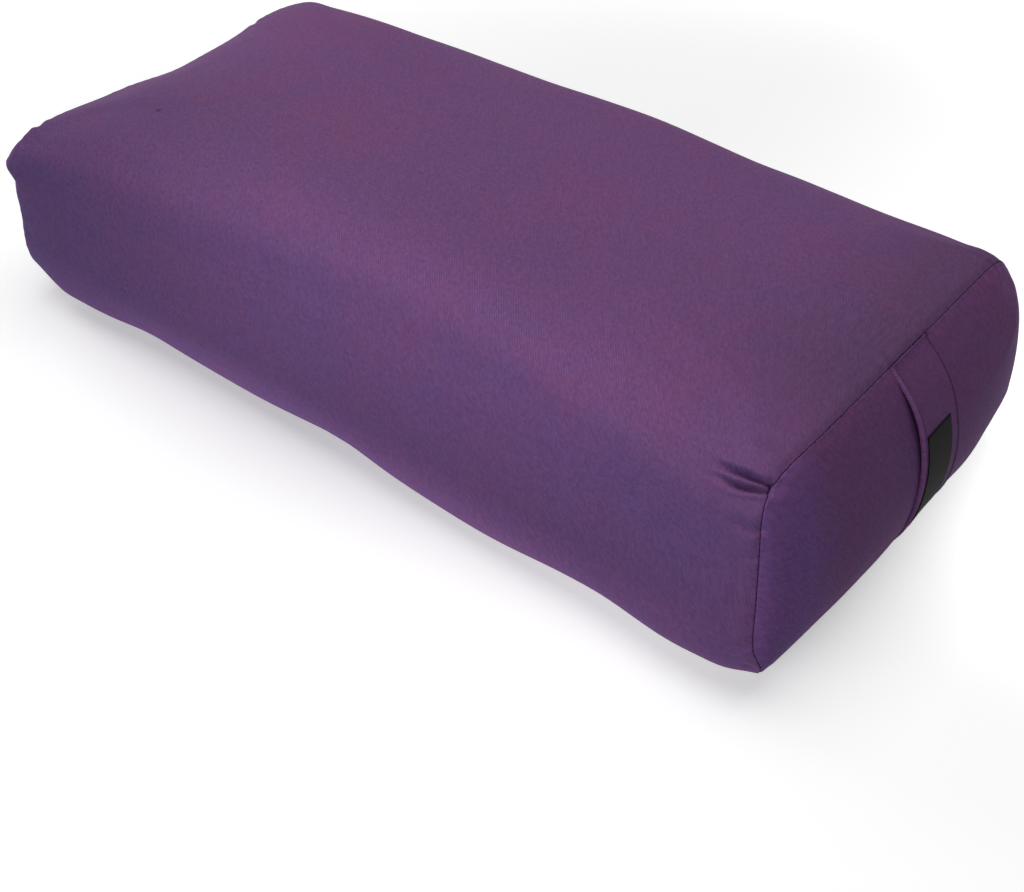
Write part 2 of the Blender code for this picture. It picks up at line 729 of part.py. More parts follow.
def foam_ring(x, clearance):
    """A ring round the foam's soft-cornered section, this far off it."""
    half_width, half_height = FOAM_HALF_WIDTH + clearance, FOAM_HALF_HEIGHT + clearance
    power = 2 / FOAM_CORNER_POWER
    ring = []
    for turn in TURNS:
        across, up = math.cos(turn), math.sin(turn)
        y = math.copysign(abs(across) ** power, across) * half_width
        z = math.copysign(abs(up) ** power, up) * half_height
        ring.append(Vector((x, y, z + CENTRE_HEIGHT)))
    return ring


def square_ring(x):
    """A ring of batting cut square across at x, a little inside the liner."""
    ring = []
    for turn in TURNS:
        start = x
        for _ in range(SQUARING_ROUNDS):
            y, z = section_point(start, turn, BATTING_INSET + FACET_ROOM, ZIP_ROOM)
            place = settle(start, y, z)
            start += x - place.x
        ring.append(Vector((x, place.y, place.z)))
    return ring


def make_filling(batting_finish, foam_finish):
    """A foam core, a batting sleeve round it, and a batting pad over each of its ends."""
    loft("foam_core", [foam_ring(-FOAM_HALF, 0.0), foam_ring(FOAM_HALF, 0.0)], foam_finish, "caps")
    inner = [share * SEAM_HALF for share in STATION_SHARES]
    outside = [square_ring(-FOAM_HALF)]
    outside += [ring_at(x, BATTING_INSET, ZIP_ROOM) for x in both_ways(inner)]
    outside += [square_ring(FOAM_HALF)]
    inside = [foam_ring(FOAM_HALF, LAYER_GAP), foam_ring(-FOAM_HALF, LAYER_GAP)]
    loft("batting_wrap", outside + inside, batting_finish, "loop")
    for name, side in (("batting_end_handle", 1), ("batting_end_plain", -1)):
        cut = square_ring(side * (FOAM_HALF + LAYER_GAP))
        rings = [cut] + liner_dome(side, BATTING_END_BASE, BATTING_INSET)
        loft(name, towards(side, rings), batting_finish, "caps")


def build():
    clear_scene()
    twill = finish_of("purple_twill", (0.105, 0.052, 0.124), 0.88)
    thread = finish_of("purple_thread", (0.045, 0.020, 0.055), 0.80)
    label_weave = finish_of("black_label_weave", (0.012, 0.011, 0.013), 0.70)
    tape = finish_of("zip_tape_weave", (0.060, 0.030, 0.072), 0.85)
    nylon = finish_of("zip_coil_nylon", (0.075, 0.038, 0.090), 0.45)
    metal = finish_of("zip_metal", (0.55, 0.54, 0.53), 0.32, 1.0)
    cotton = finish_of("liner_cotton", (0.72, 0.69, 0.62), 0.90)
    batting = finish_of("cotton_batting", (0.80, 0.78, 0.72), 0.95)
    foam = finish_of("foam", (0.78, 0.72, 0.50), 0.90)
    make_cover_wrap(twill)
    for end, side in (("handle", 1), ("plain", -1)):
        make_cover_end("cover_end_" + end, side, twill)
        make_seam_overlock("seam_overlock_" + end, side, thread)
        make_seam_thread("seam_thread_" + end, side, thread)
    make_handle(twill, label_weave)
    make_zip(tape, nylon, metal)
    make_liner(cotton)
    make_filling(batting, foam)


build()
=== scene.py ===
"""The looks of the rectangular yoga bolster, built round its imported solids. Lengths are in metres.

The long side lies along X with the strap handle at +X, and the zip faces +Y. Every cloth is a grid of
points on the stuffed form, with its seams, folds and stitches shaped in, and each finish is made of nodes.
"""

import math

import bmesh
import bpy
import numpy as np
from mathutils import Matrix, Vector, noise


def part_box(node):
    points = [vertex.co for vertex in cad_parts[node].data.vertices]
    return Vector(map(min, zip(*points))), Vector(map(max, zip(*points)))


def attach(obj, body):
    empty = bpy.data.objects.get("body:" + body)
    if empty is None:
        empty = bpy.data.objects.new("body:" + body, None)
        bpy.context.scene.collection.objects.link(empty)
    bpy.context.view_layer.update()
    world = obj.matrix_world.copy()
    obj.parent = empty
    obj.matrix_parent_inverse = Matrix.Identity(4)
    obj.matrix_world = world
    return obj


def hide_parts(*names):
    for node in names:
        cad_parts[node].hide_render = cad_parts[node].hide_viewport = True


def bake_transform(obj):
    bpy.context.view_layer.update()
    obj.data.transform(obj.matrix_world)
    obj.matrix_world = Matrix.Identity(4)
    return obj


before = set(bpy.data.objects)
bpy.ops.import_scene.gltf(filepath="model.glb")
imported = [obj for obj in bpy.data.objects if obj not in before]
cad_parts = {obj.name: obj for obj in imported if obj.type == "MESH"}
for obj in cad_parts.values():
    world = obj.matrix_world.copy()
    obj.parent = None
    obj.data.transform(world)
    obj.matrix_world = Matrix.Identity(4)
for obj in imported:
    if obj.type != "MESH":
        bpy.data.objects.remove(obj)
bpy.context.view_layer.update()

# The stuffed form, as in the solids
SEAM_HALF = 0.292
MIDDLE_WIDTH = 0.302
END_HALF_WIDTH = 0.1462
BOLSTER_HEIGHT = 0.1524
CENTRE_HEIGHT = 0.0745
END_HALF_HEIGHT = 0.0603
END_BULGE = 0.0205
FLOOR_CUT = 0.0005
CORNER_DRAW = 0.0062
CROWN_POWER = 5.24
WIDTH_POWERS = (12.0, 7.0)
HEIGHT_POWERS = (5.23, 3.12)
DOME_EDGE_POWER = 7.4
BASE_FLARE_SHARE = 0.049
END_LEAN_SHARE = 0.146
LOBE_SHARE = 0.107
DIP_DEPTH = 0.0043
DIP_SET_IN = 0.0046
DIP_OFFSET = 0.035
DIP_REACH = 0.050
CORNER_PUFF = 0.0011

# Places where the stuffing swells or sinks: x, y, z, the shift along each, and the reach unless it is the usual one,
# all in millimetres
USUAL_REACH = 34
SWELLS = (
    (314, 93, 51, -2.6, -0.2, 0.4), (310, 63, 35, 2.5, 0, -1.5), (312, 9, 40, -0.6, 0, 0.5),
    (305, -17, 21, 1.2, -0.3, 0), (308, -74, 37, 2.7, 0, -0.8), (300, -98, 18, -1.6, 0, 0),
    (268, -146, 19, 0.1, -1.2, 0), (237, -146, 18, 0.1, -2.6, 0), (200, -146, 17, 0, 2, 0),
    (164, -145, 16, 0, 0.8, 0), (128, -145, 16, 0, -1.9, 0), (92, -145, 16, 0, -1.2, 0), (8, -144, 15, 0, 4.3, 0),
    (-32, -145, 16, 0, 2.8, 0), (-80, -145, 16, 0, 1.3, 0), (-128, -145, 16, 0, 1.6, 0), (-176, -146, 18, 0, 1.8, 0),
    (-225, -147, 18, 0, -1.1, 0), (-295, -146, 64, 0.6, 0.7, -0.1), (-287, -140, 107, -5.6, -5.9, 2, 30),
    (-281, -115, 134, 2, 0.6, -3.5), (-282, -72, 135, 1.5, 0.1, -2.6), (-280, -18, 134, 2.7, -0.3, -4.6),
    (-280, 81, 134, -2.1, -0.3, 2.9), (-206, 125, 140, 0, -0.6, -1), (0, 123, 142, 0, 0.4, 0.6),
    (44, 123, 142, 0, 0.7, 1.1), (128, 122, 143, 0, -1.1, -1.9), (168, 123, 142, 0, -0.6, -1),
    (203, 123, 141, -0.1, -1.4, -2.4), (236, 126, 138, -0.2, -1.3, -2.1), (294, 131, 105, 3, 1.5, 1.3),
    (311, 96, 48, 1.3, 0.1, -0.2), (313, 55, 37, -0.4, 0, 0.1), (308, -30, 29, 1.5, 0, 0),
    (307, -72, 26, -1.1, 0, 0), (265, -147, 20, 0.3, -2.4, 0), (196, -146, 20, 0, -1.1, 0),
    (160, -146, 17, -0.1, 0.7, 0), (84, -146, 15, 0, 0.7, 0), (44, -146, 18, 0.1, 0.6, 0), (4, -143, 19, 0, 0.4, 0),
    (-44, -142, 15, -0.1, 1.1, 0), (-92, -142, 14, 0, 1, 0), (-136, -144, 17, 0, 0.5, 0),
    (-184, -145, 18, 0, 0.4, 0), (-236, -146, 19, -0.1, -2.7, 0), (-292, -147, 71, -0.4, -0.7, 0),
    (-293, -142, 114, 0.4, 0.2, -0.5), (-277, -113, 132, -0.7, 0, 1.2), (-277, -71, 134, 0.8, 0.1, -1.3),
    (-275, -19, 132, 0.5, -0.1, -1), (-275, 32, 135, 0.5, 0.1, -0.9), (-280, 81, 139, 0.4, 0, -0.6),
    (-203, 123, 139, 0, 0.8, 1.3), (-92, 123, 143, 0, -0.5, -1), (-44, 123, 144, 0, -0.7, -1.2),
    (4, 123, 144, 0, -0.4, -0.7), (48, 124, 145, 0, -0.4, -0.7), (88, 125, 142, -0.1, -0.7, -1),
    (128, 124, 140, 0, -0.6, -0.9), (202, 126, 133, 0, 0.5, 0.6), (241, 125, 134, 0, 0.8, 1.2),
    (297, 136, 104, -0.6, -0.3, -0.2), (296, -148, 27, 4, 5, 1, 13), (286, 128, 127, 0.4, 0.6, 0.1, 4),
    (291, 124, 121, -1.2, -1, 0, 8), (272, 126, 134, 0, 0.4, 0.6, 8), (-278, -130, 129, -1.4, 0, 1.1, 6),
    (-286, -142, 118, -1.5, 0, 1.1, 6), (-258, -150, 20, -0.3, -1.6, -1.3, 16), (283, -146, 20, 0.7, -0.8, -1.2, 12),
    (-297, -141, 12, 5, 4, 2, 22), (-286, -139, 104, -3, -2.5, 0, 7), (-288, -141, 93, 2.5, 1.5, 0, 7),
)

# Where the cushion gives way under the creases of the cover, in the same terms
CUSHION_DENTS = (
    (266, -131, 131, 0, 2.6, -2.6, 20), (284, -130, 126, -2, 1.5, -1.5, 16), (-270, 130, 132, 0, -1.5, -1.5, 20),
)

# Folds that run out of the seams: depth, half width, and the places along the fold, in millimetres
FOLDS = (
    # Near top corner at the handle's end
    (5.2, 1.35, ((281, -127, 131), (273, -129, 132), (267, -130, 132.5), (261, -131, 132.5), (256, -131.5, 132.6),
        (246, -132, 132.7))),
    (4.4, 1.3, ((281.6, -129.3, 128.4), (276.7, -131.3, 128.7), (270, -134, 128.2), (264.5, -134.9, 128.1),
        (260, -135.2, 128.7), (248, -135.6, 128.7))),
    (0.9, 2, ((281.4, -127, 130), (283.8, -122.7, 127.6), (286.7, -119.3, 124.3))),
    # The rest of the front and top there
    (1.3, 2.8, ((280, -107.8, 135.2), (274.1, -108.6, 136.8), (268.7, -110.2, 138.1), (264.7, -111.1, 139),
        (258, -113, 140))),
    (2, 2.4, ((284.5, -140, 113.5), (278.6, -141.3, 112.5), (273.1, -141.6, 113.2), (266, -142, 114))),
    (1.2, 2, ((288.2, -142.3, 99), (281.2, -144, 96.8), (274, -145, 93.8))),
    (0.6, 2.6, ((290.9, -146.3, 70.2), (282, -149, 69), (274, -150, 66))),
    (1.3, 1.9, ((295.5, -148, 48), (289.2, -149.8, 44.5), (280, -150.7, 42.1))),
    (1.5, 1.5, ((298, -142, 27), (294, -147, 31), (288, -149.4, 33))),
    # Beside the strap and on the far side
    (0.9, 1.6, ((283, -9, 134.4), (278.6, -8.1, 136.1), (273, -6.5, 138))),
    (0.7, 1.8, ((283, 29, 134.4), (278, 28, 136.3), (272, 26, 138.3))),
    (0.9, 2.2, ((282, 105, 133), (276, 103, 135.5), (268, 102, 138))),
    (0.5, 1.8, ((282, 123, 130), (276, 124.5, 132), (268, 125.5, 133.6))),
    (1.3, 2.2, ((285, 137, 112), (279, 139, 113), (272, 140, 114))),
    (-0.9, 1.4, ((282, 118.8, 132.8), (276.6, 115.6, 135.6), (270.7, 114.2, 137.2), (265.1, 112.1, 138.7),
        (254, 108, 140.8))),
    # Plain end
    (0.4, 2.4, ((-281, -127, 131), (-273, -129, 132), (-264, -131, 133), (-255, -132, 133))),
    (0.5, 2.2, ((-283, -133, 125), (-275, -135, 125.5), (-266, -137, 125), (-258, -138, 124.5))),
    (1.1, 2.6, ((-286, -141, 104), (-279, -143, 103), (-270, -145, 101))),
    (0.9, 2.6, ((-293, -147, 62), (-284, -149, 60), (-275, -150, 58))),
    (0.9, 2.8, ((-281, -60, 134), (-272, -61, 137), (-262, -63, 140))),
    (0.9, 2.8, ((-281, 66, 134), (-271, 68, 137), (-262, 69, 139))),
    (0.7, 2.4, ((-281, 126, 131), (-273, 128, 132), (-264, 130, 133), (-256, 131, 133))),
    (1.6, 2, ((-284, 135, 118), (-276, 137, 118.5), (-267, 139, 118))),
    (0.4, 2.6, ((-281.4, -127, 130), (-284, -121, 126), (-287, -116, 121))),
    (0.4, 2.6, ((-281.4, 127, 130), (-284, 121, 126), (-287, 116, 121))),
)
RIDGE_SHARE = 0.30
MOST_SUNK = 0.0056

# Colours of the twill: plain, and where the dye leans warm or cool
TWILL_COLOURS = (0.136, 0.054, 0.158), (0.150, 0.052, 0.150), (0.124, 0.056, 0.166)
# The wrap's colours are the end panels' lifted, mostly in green and blue: painted light on the wrap, which is the same
# cloth
WRAP_LIT_COLOURS = (0.142, 0.066, 0.178), (0.160, 0.064, 0.168), (0.126, 0.066, 0.188)
STRAP_SHADE = 0.94

# Painted light and shade, as shares of the colour: the top lighter and pinker and the sides bluer as the light falls,
# a painted sheen on the wrap's upper front edge, painted shade at its plain end's front corner, painted bounce light
# along its foot, its top darker by the handle end, and a painted sheen by the end panels' front edges
TOP_TINT = (1.12, 1.05, 1.03)
SIDE_TINT = (0.93, 0.99, 1.04)
UPWARD = (0.15, 0.92)
SHEEN_LINE = (0.0, -0.150, 0.122)
SHEEN_BAND = (0.095, 0.010)
SHEEN_BAND_TINT = (1.18, 1.22, 1.26)
PAINTED_SHADE_TINT = (0.74, 0.80, 0.84)
BOUNCE_LIGHT_TINT = (1.95, 1.92, 1.92)
END_TINT = (0.80, 0.86, 0.80)
NEAR_SHEEN_TINT = (1.16, 1.32, 1.40)
NEAR_LINE = (-0.080, -0.122)

# The middle of a small dark mark on the top, and the distances between which it fades
MARK_PLACE = (-0.207, -0.0834, 0.149)
MARK_REACH = (0.0010, 0.0030)
MARK_SHADE = 0.45

# Cloth and seams
COLUMNS = 640
CORNER_WEIGHT = 1.3
MIDDLE_STEP = 0.004
LIP_RADIUS = 0.0013
TUCK_DEPTH = 0.0045
STITCH_LENGTH = 0.0034
STITCH_PITCH = 0.0036
SEAM_STEPS = np.array([0.0, 0.00012, 0.00032, 0.0006, 0.00095, 0.0013, 0.0017, 0.0022, 0.0028])
PANEL_RINGS = np.array([0.94, 0.88, 0.82, 0.75, 0.68, 0.6, 0.52, 0.44, 0.36, 0.28, 0.2, 0.12, 0.05, 0.004])[:, None]
SEAM_DIP = 0.0007
SEAM_DIP_REACH = 0.004
WRAP_GATHER = 0.00035
PANEL_GATHER = 0.0003
GATHER_REACH = 0.007
FOLDS_FROM = 0.15
THREAD_RADIUS = 0.00028
RIB_SPACING = 0.0013
RIB_DEPTH = 0.00012
RIB_SHADE = 0.16
YARN_SHADE = 0.32
TWILL_FINISH = {"lint": 0.10, "facing_light": 1.0}

# Cloth simulation of the coarse cover
STUFF_ROWS = 101
STUFF_COLUMNS = 148
STUFF_RINGS = 16
STUFF_FRAMES = 20
STUFF_SLACK_ROWS = 12
STUFF_MOST = 0.0012
STUFF_BLUR = 5
STUFFING = {
    "quality": 5, "mass": 0.3, "tension_stiffness": 12.0, "compression_stiffness": 12.0, "shear_stiffness": 4.0,
    "bending_stiffness": 0.12, "use_pressure": True, "uniform_pressure_force": 4.0, "vertex_group_mass": "seams",
    "vertex_group_shrink": "slack", "shrink_min": 0.0, "shrink_max": -0.02,
}

# Strap
STRAP_WIDTH = 0.0435
STRAP_OFFSET = 0.0095
STRAP_THICKNESS = 0.0022
STRAP_SHARES = (-1.0, -0.9, -0.75, -0.5, -0.25, 0.0, 0.25, 0.5, 0.72, 0.88, 1.0)
STRAP_NEAR_RISES = (0.1, 1.2, 1.3, 1.4, 2.0, 2.8, 3.7, 4.9, 5.2, 3.8, 0.1)
STRAP_FAR_RISES = (0.1, 1.2, 1.3, 1.4, 1.5, 1.6, 1.9, 3.0, 4.0, 3.2, 0.1)
STRAP_EDGE = 0.0015
GRIP_TOP = 0.1035
GRIP_BOTTOM = 0.0330
LABEL_WIDTH = 0.028
LABEL_LENGTH = 0.064
LABEL_MIDDLE = (0.0065, -0.0080)
STRAP_SEAMS = (0.1335, 0.0155)
HEM = 0.00035
# How much lighter the painted highlight on the strap's folded edge is, and how dark the stitched line beside it
HIGHLIGHT_SHADE = 1.55
LINE_SHADE = 0.35

# Zip, and the closing seam that holds it
ZIP_HEIGHT = 0.0465
SLOT_REACH = 0.243
SLOT_HALF = 0.0052
SLOT_END = 0.004
SLOT_FACE = 0.1500
CLOSING_STEPS = 0.001 * np.array([0.1, 0.16, 0.22, 0.5, 0.9, 1.5, 2.2, 3, 4, 5, 6.5, 8, 10, 12, 14, 16, 18])
CLOSING_EDGE = CLOSING_STEPS[2]
TOPSTITCH_OUT = 0.0074
TOPSTITCH_END = 0.2475
COIL_PITCH = 0.0016
COIL_WIRE = 0.00034
TOPSTITCH_RADIUS = 0.00022
LABEL_STITCH = (0.0021, 0.0016, 0.00018)
LABEL_LIFT = 0.0006
LABEL_THICKNESS = 0.0007
ALONG = np.array([1.0, 0.0, 0.0])

# The inner cushion
CUSHION_COLUMNS = 200
CUSHION_CAP = np.array([0.97, 0.93, 0.88, 0.82, 0.74, 0.64, 0.5, 0.35, 0.2, 0.08, 0.003])[:, None]
CUSHION_UNEVEN = 0.0004
DAPPLE_SIZE = 0.03
DAPPLE_SHIFT = (5 * 7.3, 5 * 3.1, 5 * 5.7)
ZIP_ROOM = 0.0058

# Camera and lamps: each lamp's place, the place it faces, its power, width and height
CAMERA_PLACE = (0.4905, -0.59115, 0.57473)
CAMERA_RIGHT = Vector((0.77876, 0.62723, 0.01085))
CAMERA_UP = Vector((-0.41342, 0.50013, 0.76089))
CAMERA_LENS = 49.29
LAMPS = {
    "overhead": ((0.0, 0.0, 2.4), (0, 0, 0), 43.0, 2.4, 2.4),
    "front": ((-0.3, -2.6, 0.9), (0, 0, 0.08), 24.0, 1.8, 1.2),
    "left": ((-2.6, 0.2, 1.3), (0, 0, 0.08), 16.0, 1.6, 1.6),
}
FLOOR_SHADE = 0.80
FLOOR_HALF = 12.0
FLOOR_DROP = 0.0003


def smooth(share):
    share = np.clip(share, 0.0, 1.0)
    return share * share * (3 - 2 * share)


def unit(vectors):
    """The same directions, each one long."""
    return vectors / np.maximum(np.linalg.norm(vectors, axis=-1, keepdims=True), 1e-12)


# The form


def section(x, turn, inset=0.0, back_room=0.0):
    """Across and up from the middle of the even form at x, at this turn round it."""
    fullness = 1 - np.minimum(np.abs(x) / SEAM_HALF, 1.0) ** CROWN_POWER

    def filled(at_end, at_middle):
        return at_end + (at_middle - at_end) * fullness

    half = filled(END_HALF_WIDTH, MIDDLE_WIDTH / 2) - inset
    above = filled(END_HALF_HEIGHT, BOLSTER_HEIGHT - CENTRE_HEIGHT) - inset
    below = filled(END_HALF_HEIGHT, CENTRE_HEIGHT + FLOOR_CUT) - inset
    across, up = np.cos(turn), np.sin(turn)
    y = np.sign(across) * np.abs(across) ** (2 / filled(*WIDTH_POWERS)) * half
    z = np.sign(up) * np.abs(up) ** (2 / filled(*HEIGHT_POWERS)) * np.where(up > 0, above, below)
    y = np.where(y > 0, y * (1 - back_room / half), y)
    return y, np.maximum(z, inset - CENTRE_HEIGHT)


def settle(x, y, z):
    """Points of the even form where the stuffed cover takes them, from the floor up."""
    y = y * (1 - BASE_FLARE_SHARE * z / END_HALF_HEIGHT)
    end = np.sign(x) * np.minimum(np.abs(x) / SEAM_HALF, 1.0) ** 6
    x = x - end * END_LEAN_SHARE * z
    out = np.minimum(np.abs(y) / END_HALF_WIDTH, 1.0) ** 6
    off_level = np.minimum(np.abs(z) / END_HALF_HEIGHT, 1.0) ** 4
    x = x - end * CORNER_DRAW * out * off_level
    plain_end = np.clip(-x / SEAM_HALF, 0.0, 1.0) ** 10 * np.clip(z / END_HALF_HEIGHT, 0.0, 1.0)
    dip = plain_end * np.exp(-(((y - DIP_OFFSET) / DIP_REACH) ** 2))
    far = np.clip(y / END_HALF_WIDTH, 0.0, 1.0) ** 3
    x = x + DIP_SET_IN * dip
    z = z + CORNER_PUFF * plain_end * far - DIP_DEPTH * dip
    return swell(np.stack(np.broadcast_arrays(x, y, z + CENTRE_HEIGHT), axis=-1))


def swell(points, swells=SWELLS):
    """Moves points with the uneven stuffing."""
    moved = points.copy()
    for row in swells:
        place, shift = 0.001 * np.array(row[:6]).reshape(2, 3)
        reach = row[6] if len(row) > 6 else USUAL_REACH
        share = np.exp(-((points - place) ** 2).sum(axis=-1) / (0.001 * reach) ** 2)
        moved += share[..., None] * shift
    return moved


def around(ring):
    """Distances along a line of points."""
    return np.concatenate([[0.0], np.cumsum(np.linalg.norm(np.diff(ring, axis=0), axis=1))])


def fine_turns(start):
    """Many turns from this one once round, closer together where the form's flat faces hardly turn."""
    even = start + np.linspace(0.0, 2 * np.pi, 20001)
    small = np.logspace(-14, -3, 1200)
    spots = [quarter * np.pi / 2 + side * small for quarter in range(-1, 6) for side in (-1, 1)]
    fine = np.unique(np.concatenate([even, *spots]))
    return fine[(fine >= even[0]) & (fine <= even[-1])]


def even_turns(count):
    """Turns at even distances round the middle of the cover."""
    fine = fine_turns(0.0)
    reach = around(np.stack(section(0.5 * SEAM_HALF, fine), axis=-1))
    return np.interp(np.arange(count) / count * reach[-1], reach, fine)


def closing_turn(x):
    """The turn at which the closing seam runs, on the side with the zip."""
    fine = np.linspace(-1.2, 0.6, 4001)
    return np.interp(ZIP_HEIGHT, settle(x, *section(x, fine))[:, 2], fine)


def column_turns():
    """Turns of the columns and their distances from the closing seam: closer together there and at the corners."""
    fine = fine_turns(closing_turn(SEAM_HALF))
    y, z = section(SEAM_HALF, fine)
    reach = around(np.stack([y, z], axis=-1))
    weight = 1 + CORNER_WEIGHT * smooth((np.abs(y) - 0.095) / 0.02) * smooth((np.abs(z) - 0.015) / 0.02)
    spread = np.concatenate([[0.0], np.cumsum(np.diff(reach) * weight[1:])])
    first, last = np.interp([CLOSING_STEPS[-1], reach[-1] - CLOSING_STEPS[-1]], reach, spread)
    between = np.linspace(first, last, COLUMNS - 2 * len(CLOSING_STEPS) + 2)[1:-1]
    places = np.concatenate([CLOSING_STEPS, np.interp(between, spread, reach), reach[-1] - CLOSING_STEPS[::-1]])
    return np.interp(places, reach, fine), places, reach[-1]


TURNS, PLACES, ROUND_LENGTH = column_turns()
FROM_CLOSING = np.minimum(PLACES, ROUND_LENGTH - PLACES)
CLOSING_SIDE = np.where(PLACES < ROUND_LENGTH / 2, 1.0, -1.0)


def slot_share(x):
    """How far the zip's slot is open at x, from 0 to 1."""
    return smooth((SLOT_REACH - np.abs(x)) / SLOT_END + 0.5)


def turns_at(x):
    """Turns of the columns at one place along the cover, and their distances from the closing seam there."""
    start = closing_turn(x)
    fine = start + np.linspace(-0.55, 0.55, 3001)
    reach = around(settle(x, *section(x, fine)))
    reach = reach - np.interp(start, fine, reach)
    last = CLOSING_STEPS[-1]
    room = np.clip((last - FROM_CLOSING) / (last - CLOSING_EDGE), 0.0, 1.0)
    apart = FROM_CLOSING + (SLOT_HALF - CLOSING_EDGE) * slot_share(x) * room
    near = np.interp(CLOSING_SIDE * apart, reach, fine) + np.where(CLOSING_SIDE < 0, 2 * np.pi, 0.0)
    share = smooth((FROM_CLOSING - 0.022) / 0.040)
    return near * (1 - share) + TURNS * share, apart


def ring_share(y, z):
    """How far out a point of an end panel lies: 0 at its middle and 1 on its seam."""
    low, high = np.zeros(np.broadcast(y, z).shape), np.ones(np.broadcast(y, z).shape)
    for _ in range(26):
        share = (low + high) / 2
        wide = (np.abs(y) / (share * END_HALF_WIDTH)) ** WIDTH_POWERS[0]
        outside = wide + (np.abs(z) / (share * END_HALF_HEIGHT)) ** HEIGHT_POWERS[0] > 1
        low, high = np.where(outside, share, low), np.where(outside, high, share)
    return high


def panel_at(side, y, z, lift=0.0):
    """Points on an end panel, or this far out from it."""
    level = 1 - np.minimum(np.abs(z) / END_HALF_HEIGHT, 1.0) ** 2
    lobe = 1 + LOBE_SHARE * np.sin(np.pi * np.clip(y / END_HALF_WIDTH, -1, 1))
    rise = END_BULGE * (1 - ring_share(y, z) ** DOME_EDGE_POWER) * level * lobe
    return settle(side * (SEAM_HALF + rise + lift), y, z)


# Small irregularities, the same on every run


def wander(wavelength, seed, terms=5):
    """A smooth random run between about -1 and 1 round a seam, which closes on itself."""
    rng = np.random.default_rng(seed)
    base = round(ROUND_LENGTH / wavelength)
    out = np.zeros_like(PLACES)
    for _ in range(terms):
        waves = base + rng.integers(-base // 3, base // 3 + 1)
        out += rng.uniform(0.5, 1.0) * np.cos(2 * np.pi * (waves * PLACES / ROUND_LENGTH + rng.uniform()))
    return out / math.sqrt(terms)


def dapple(points):
    """Soft noise at the points, between about -1 and 1."""
    flat = points.reshape(-1, 3) / DAPPLE_SIZE + np.array(DAPPLE_SHIFT)
    return np.array([noise.noise(Vector(p)) for p in flat]).reshape(points.shape[:-1])


# Grids and meshes


def grid_normals(points):
    """Normals of a grid whose rows run along X and whose columns turn round it."""
    round_step = np.roll(points, -1, axis=1) - np.roll(points, 1, axis=1)
    return unit(np.cross(round_step, np.gradient(points, axis=0)))


def outward_normals(points):
    """Normals of a closed form's grid, pointing out of it."""
    normal, row = grid_normals(points), len(points) // 2
    return normal * np.sign((normal[row, :, 2] * (points[row, :, 2] - CENTRE_HEIGHT)).sum())


def link(name, data, place=None):
    """An object in the scene with this data."""
    made = bpy.data.objects.new(name, data)
    if place is not None:
        made.matrix_world = place
    bpy.context.scene.collection.objects.link(made)
    return made


def mesh_piece(name, points, faces, finish):
    """A smooth mesh object from points and faces."""
    mesh = bpy.data.meshes.new(name)
    mesh.from_pydata(points.reshape(-1, 3).tolist(), [], faces.tolist())
    mesh.shade_smooth()
    mesh.materials.append(finish)
    return link(name, mesh)


def grid_piece(name, points, flat, finish, turned=True, round_length=0.0, kept=None):
    """A mesh through a grid of points, with the cloth's own flat coordinates as its UV map, in metres."""
    rows, columns = points.shape[:2]
    i, j = np.meshgrid(np.arange(rows - 1), np.arange(columns), indexing="ij")
    if kept is not None:
        i, j = i[kept], j[kept]
    i, j = i.reshape(-1), j.reshape(-1)
    after = (j + 1) % columns
    quads = np.stack([i * columns + j, i * columns + after, (i + 1) * columns + after, (i + 1) * columns + j], -1)
    jump = np.stack([0 * i, (after == 0) * round_length], -1)
    corner = np.stack([flat[i, j], flat[i, after] + jump, flat[i + 1, after] + jump, flat[i + 1, j]], axis=1)
    if turned:
        quads, corner = quads[:, ::-1], corner[:, ::-1]
    piece = mesh_piece(name, points, quads, finish)
    layer = piece.data.uv_layers.new(name="cloth")
    layer.data.foreach_set("uv", corner.reshape(-1).astype(np.float32))
    return piece


def rings(line, one, other, radius, sides):
    """Rings of points round a line, on the two ways given across it."""
    turns = (np.arange(sides) / sides * 2 * np.pi)[:, None]
    out = np.cos(turns) * one[..., None, :] + np.sin(turns) * other[..., None, :]
    return line[..., None, :] + np.asarray(radius)[..., None, None] * out


def tubes_piece(name, points, finish):
    """Many open tubes in one mesh, from each tube's rings of points."""
    count, rows, sides = points.shape[:3]
    n, i, j = np.meshgrid(np.arange(count), np.arange(rows - 1), np.arange(sides), indexing="ij")
    base, after = (n * rows + i) * sides, (j + 1) % sides
    quads = np.stack([base + j, base + after, base + sides + after, base + sides + j], -1)
    return mesh_piece(name, points, quads.reshape(-1, 4), finish)


def dress(piece, body, slot, *nodes):
    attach(piece, body)
    if nodes:
        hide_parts(*nodes)
    return piece


# Finishes


class Wire:
    """A value in a node tree. Sums and products of wires make the nodes for them."""

    def __init__(self, sheet, socket):
        self.sheet, self.socket = sheet, socket

    def __add__(self, other):
        return self.sheet.math("ADD", self, other)

    def __sub__(self, other):
        return self.sheet.math("SUBTRACT", self, other)

    def __mul__(self, other):
        return self.sheet.math("MULTIPLY", self, other)

    def __truediv__(self, other):
        return self.sheet.math("DIVIDE", self, other)


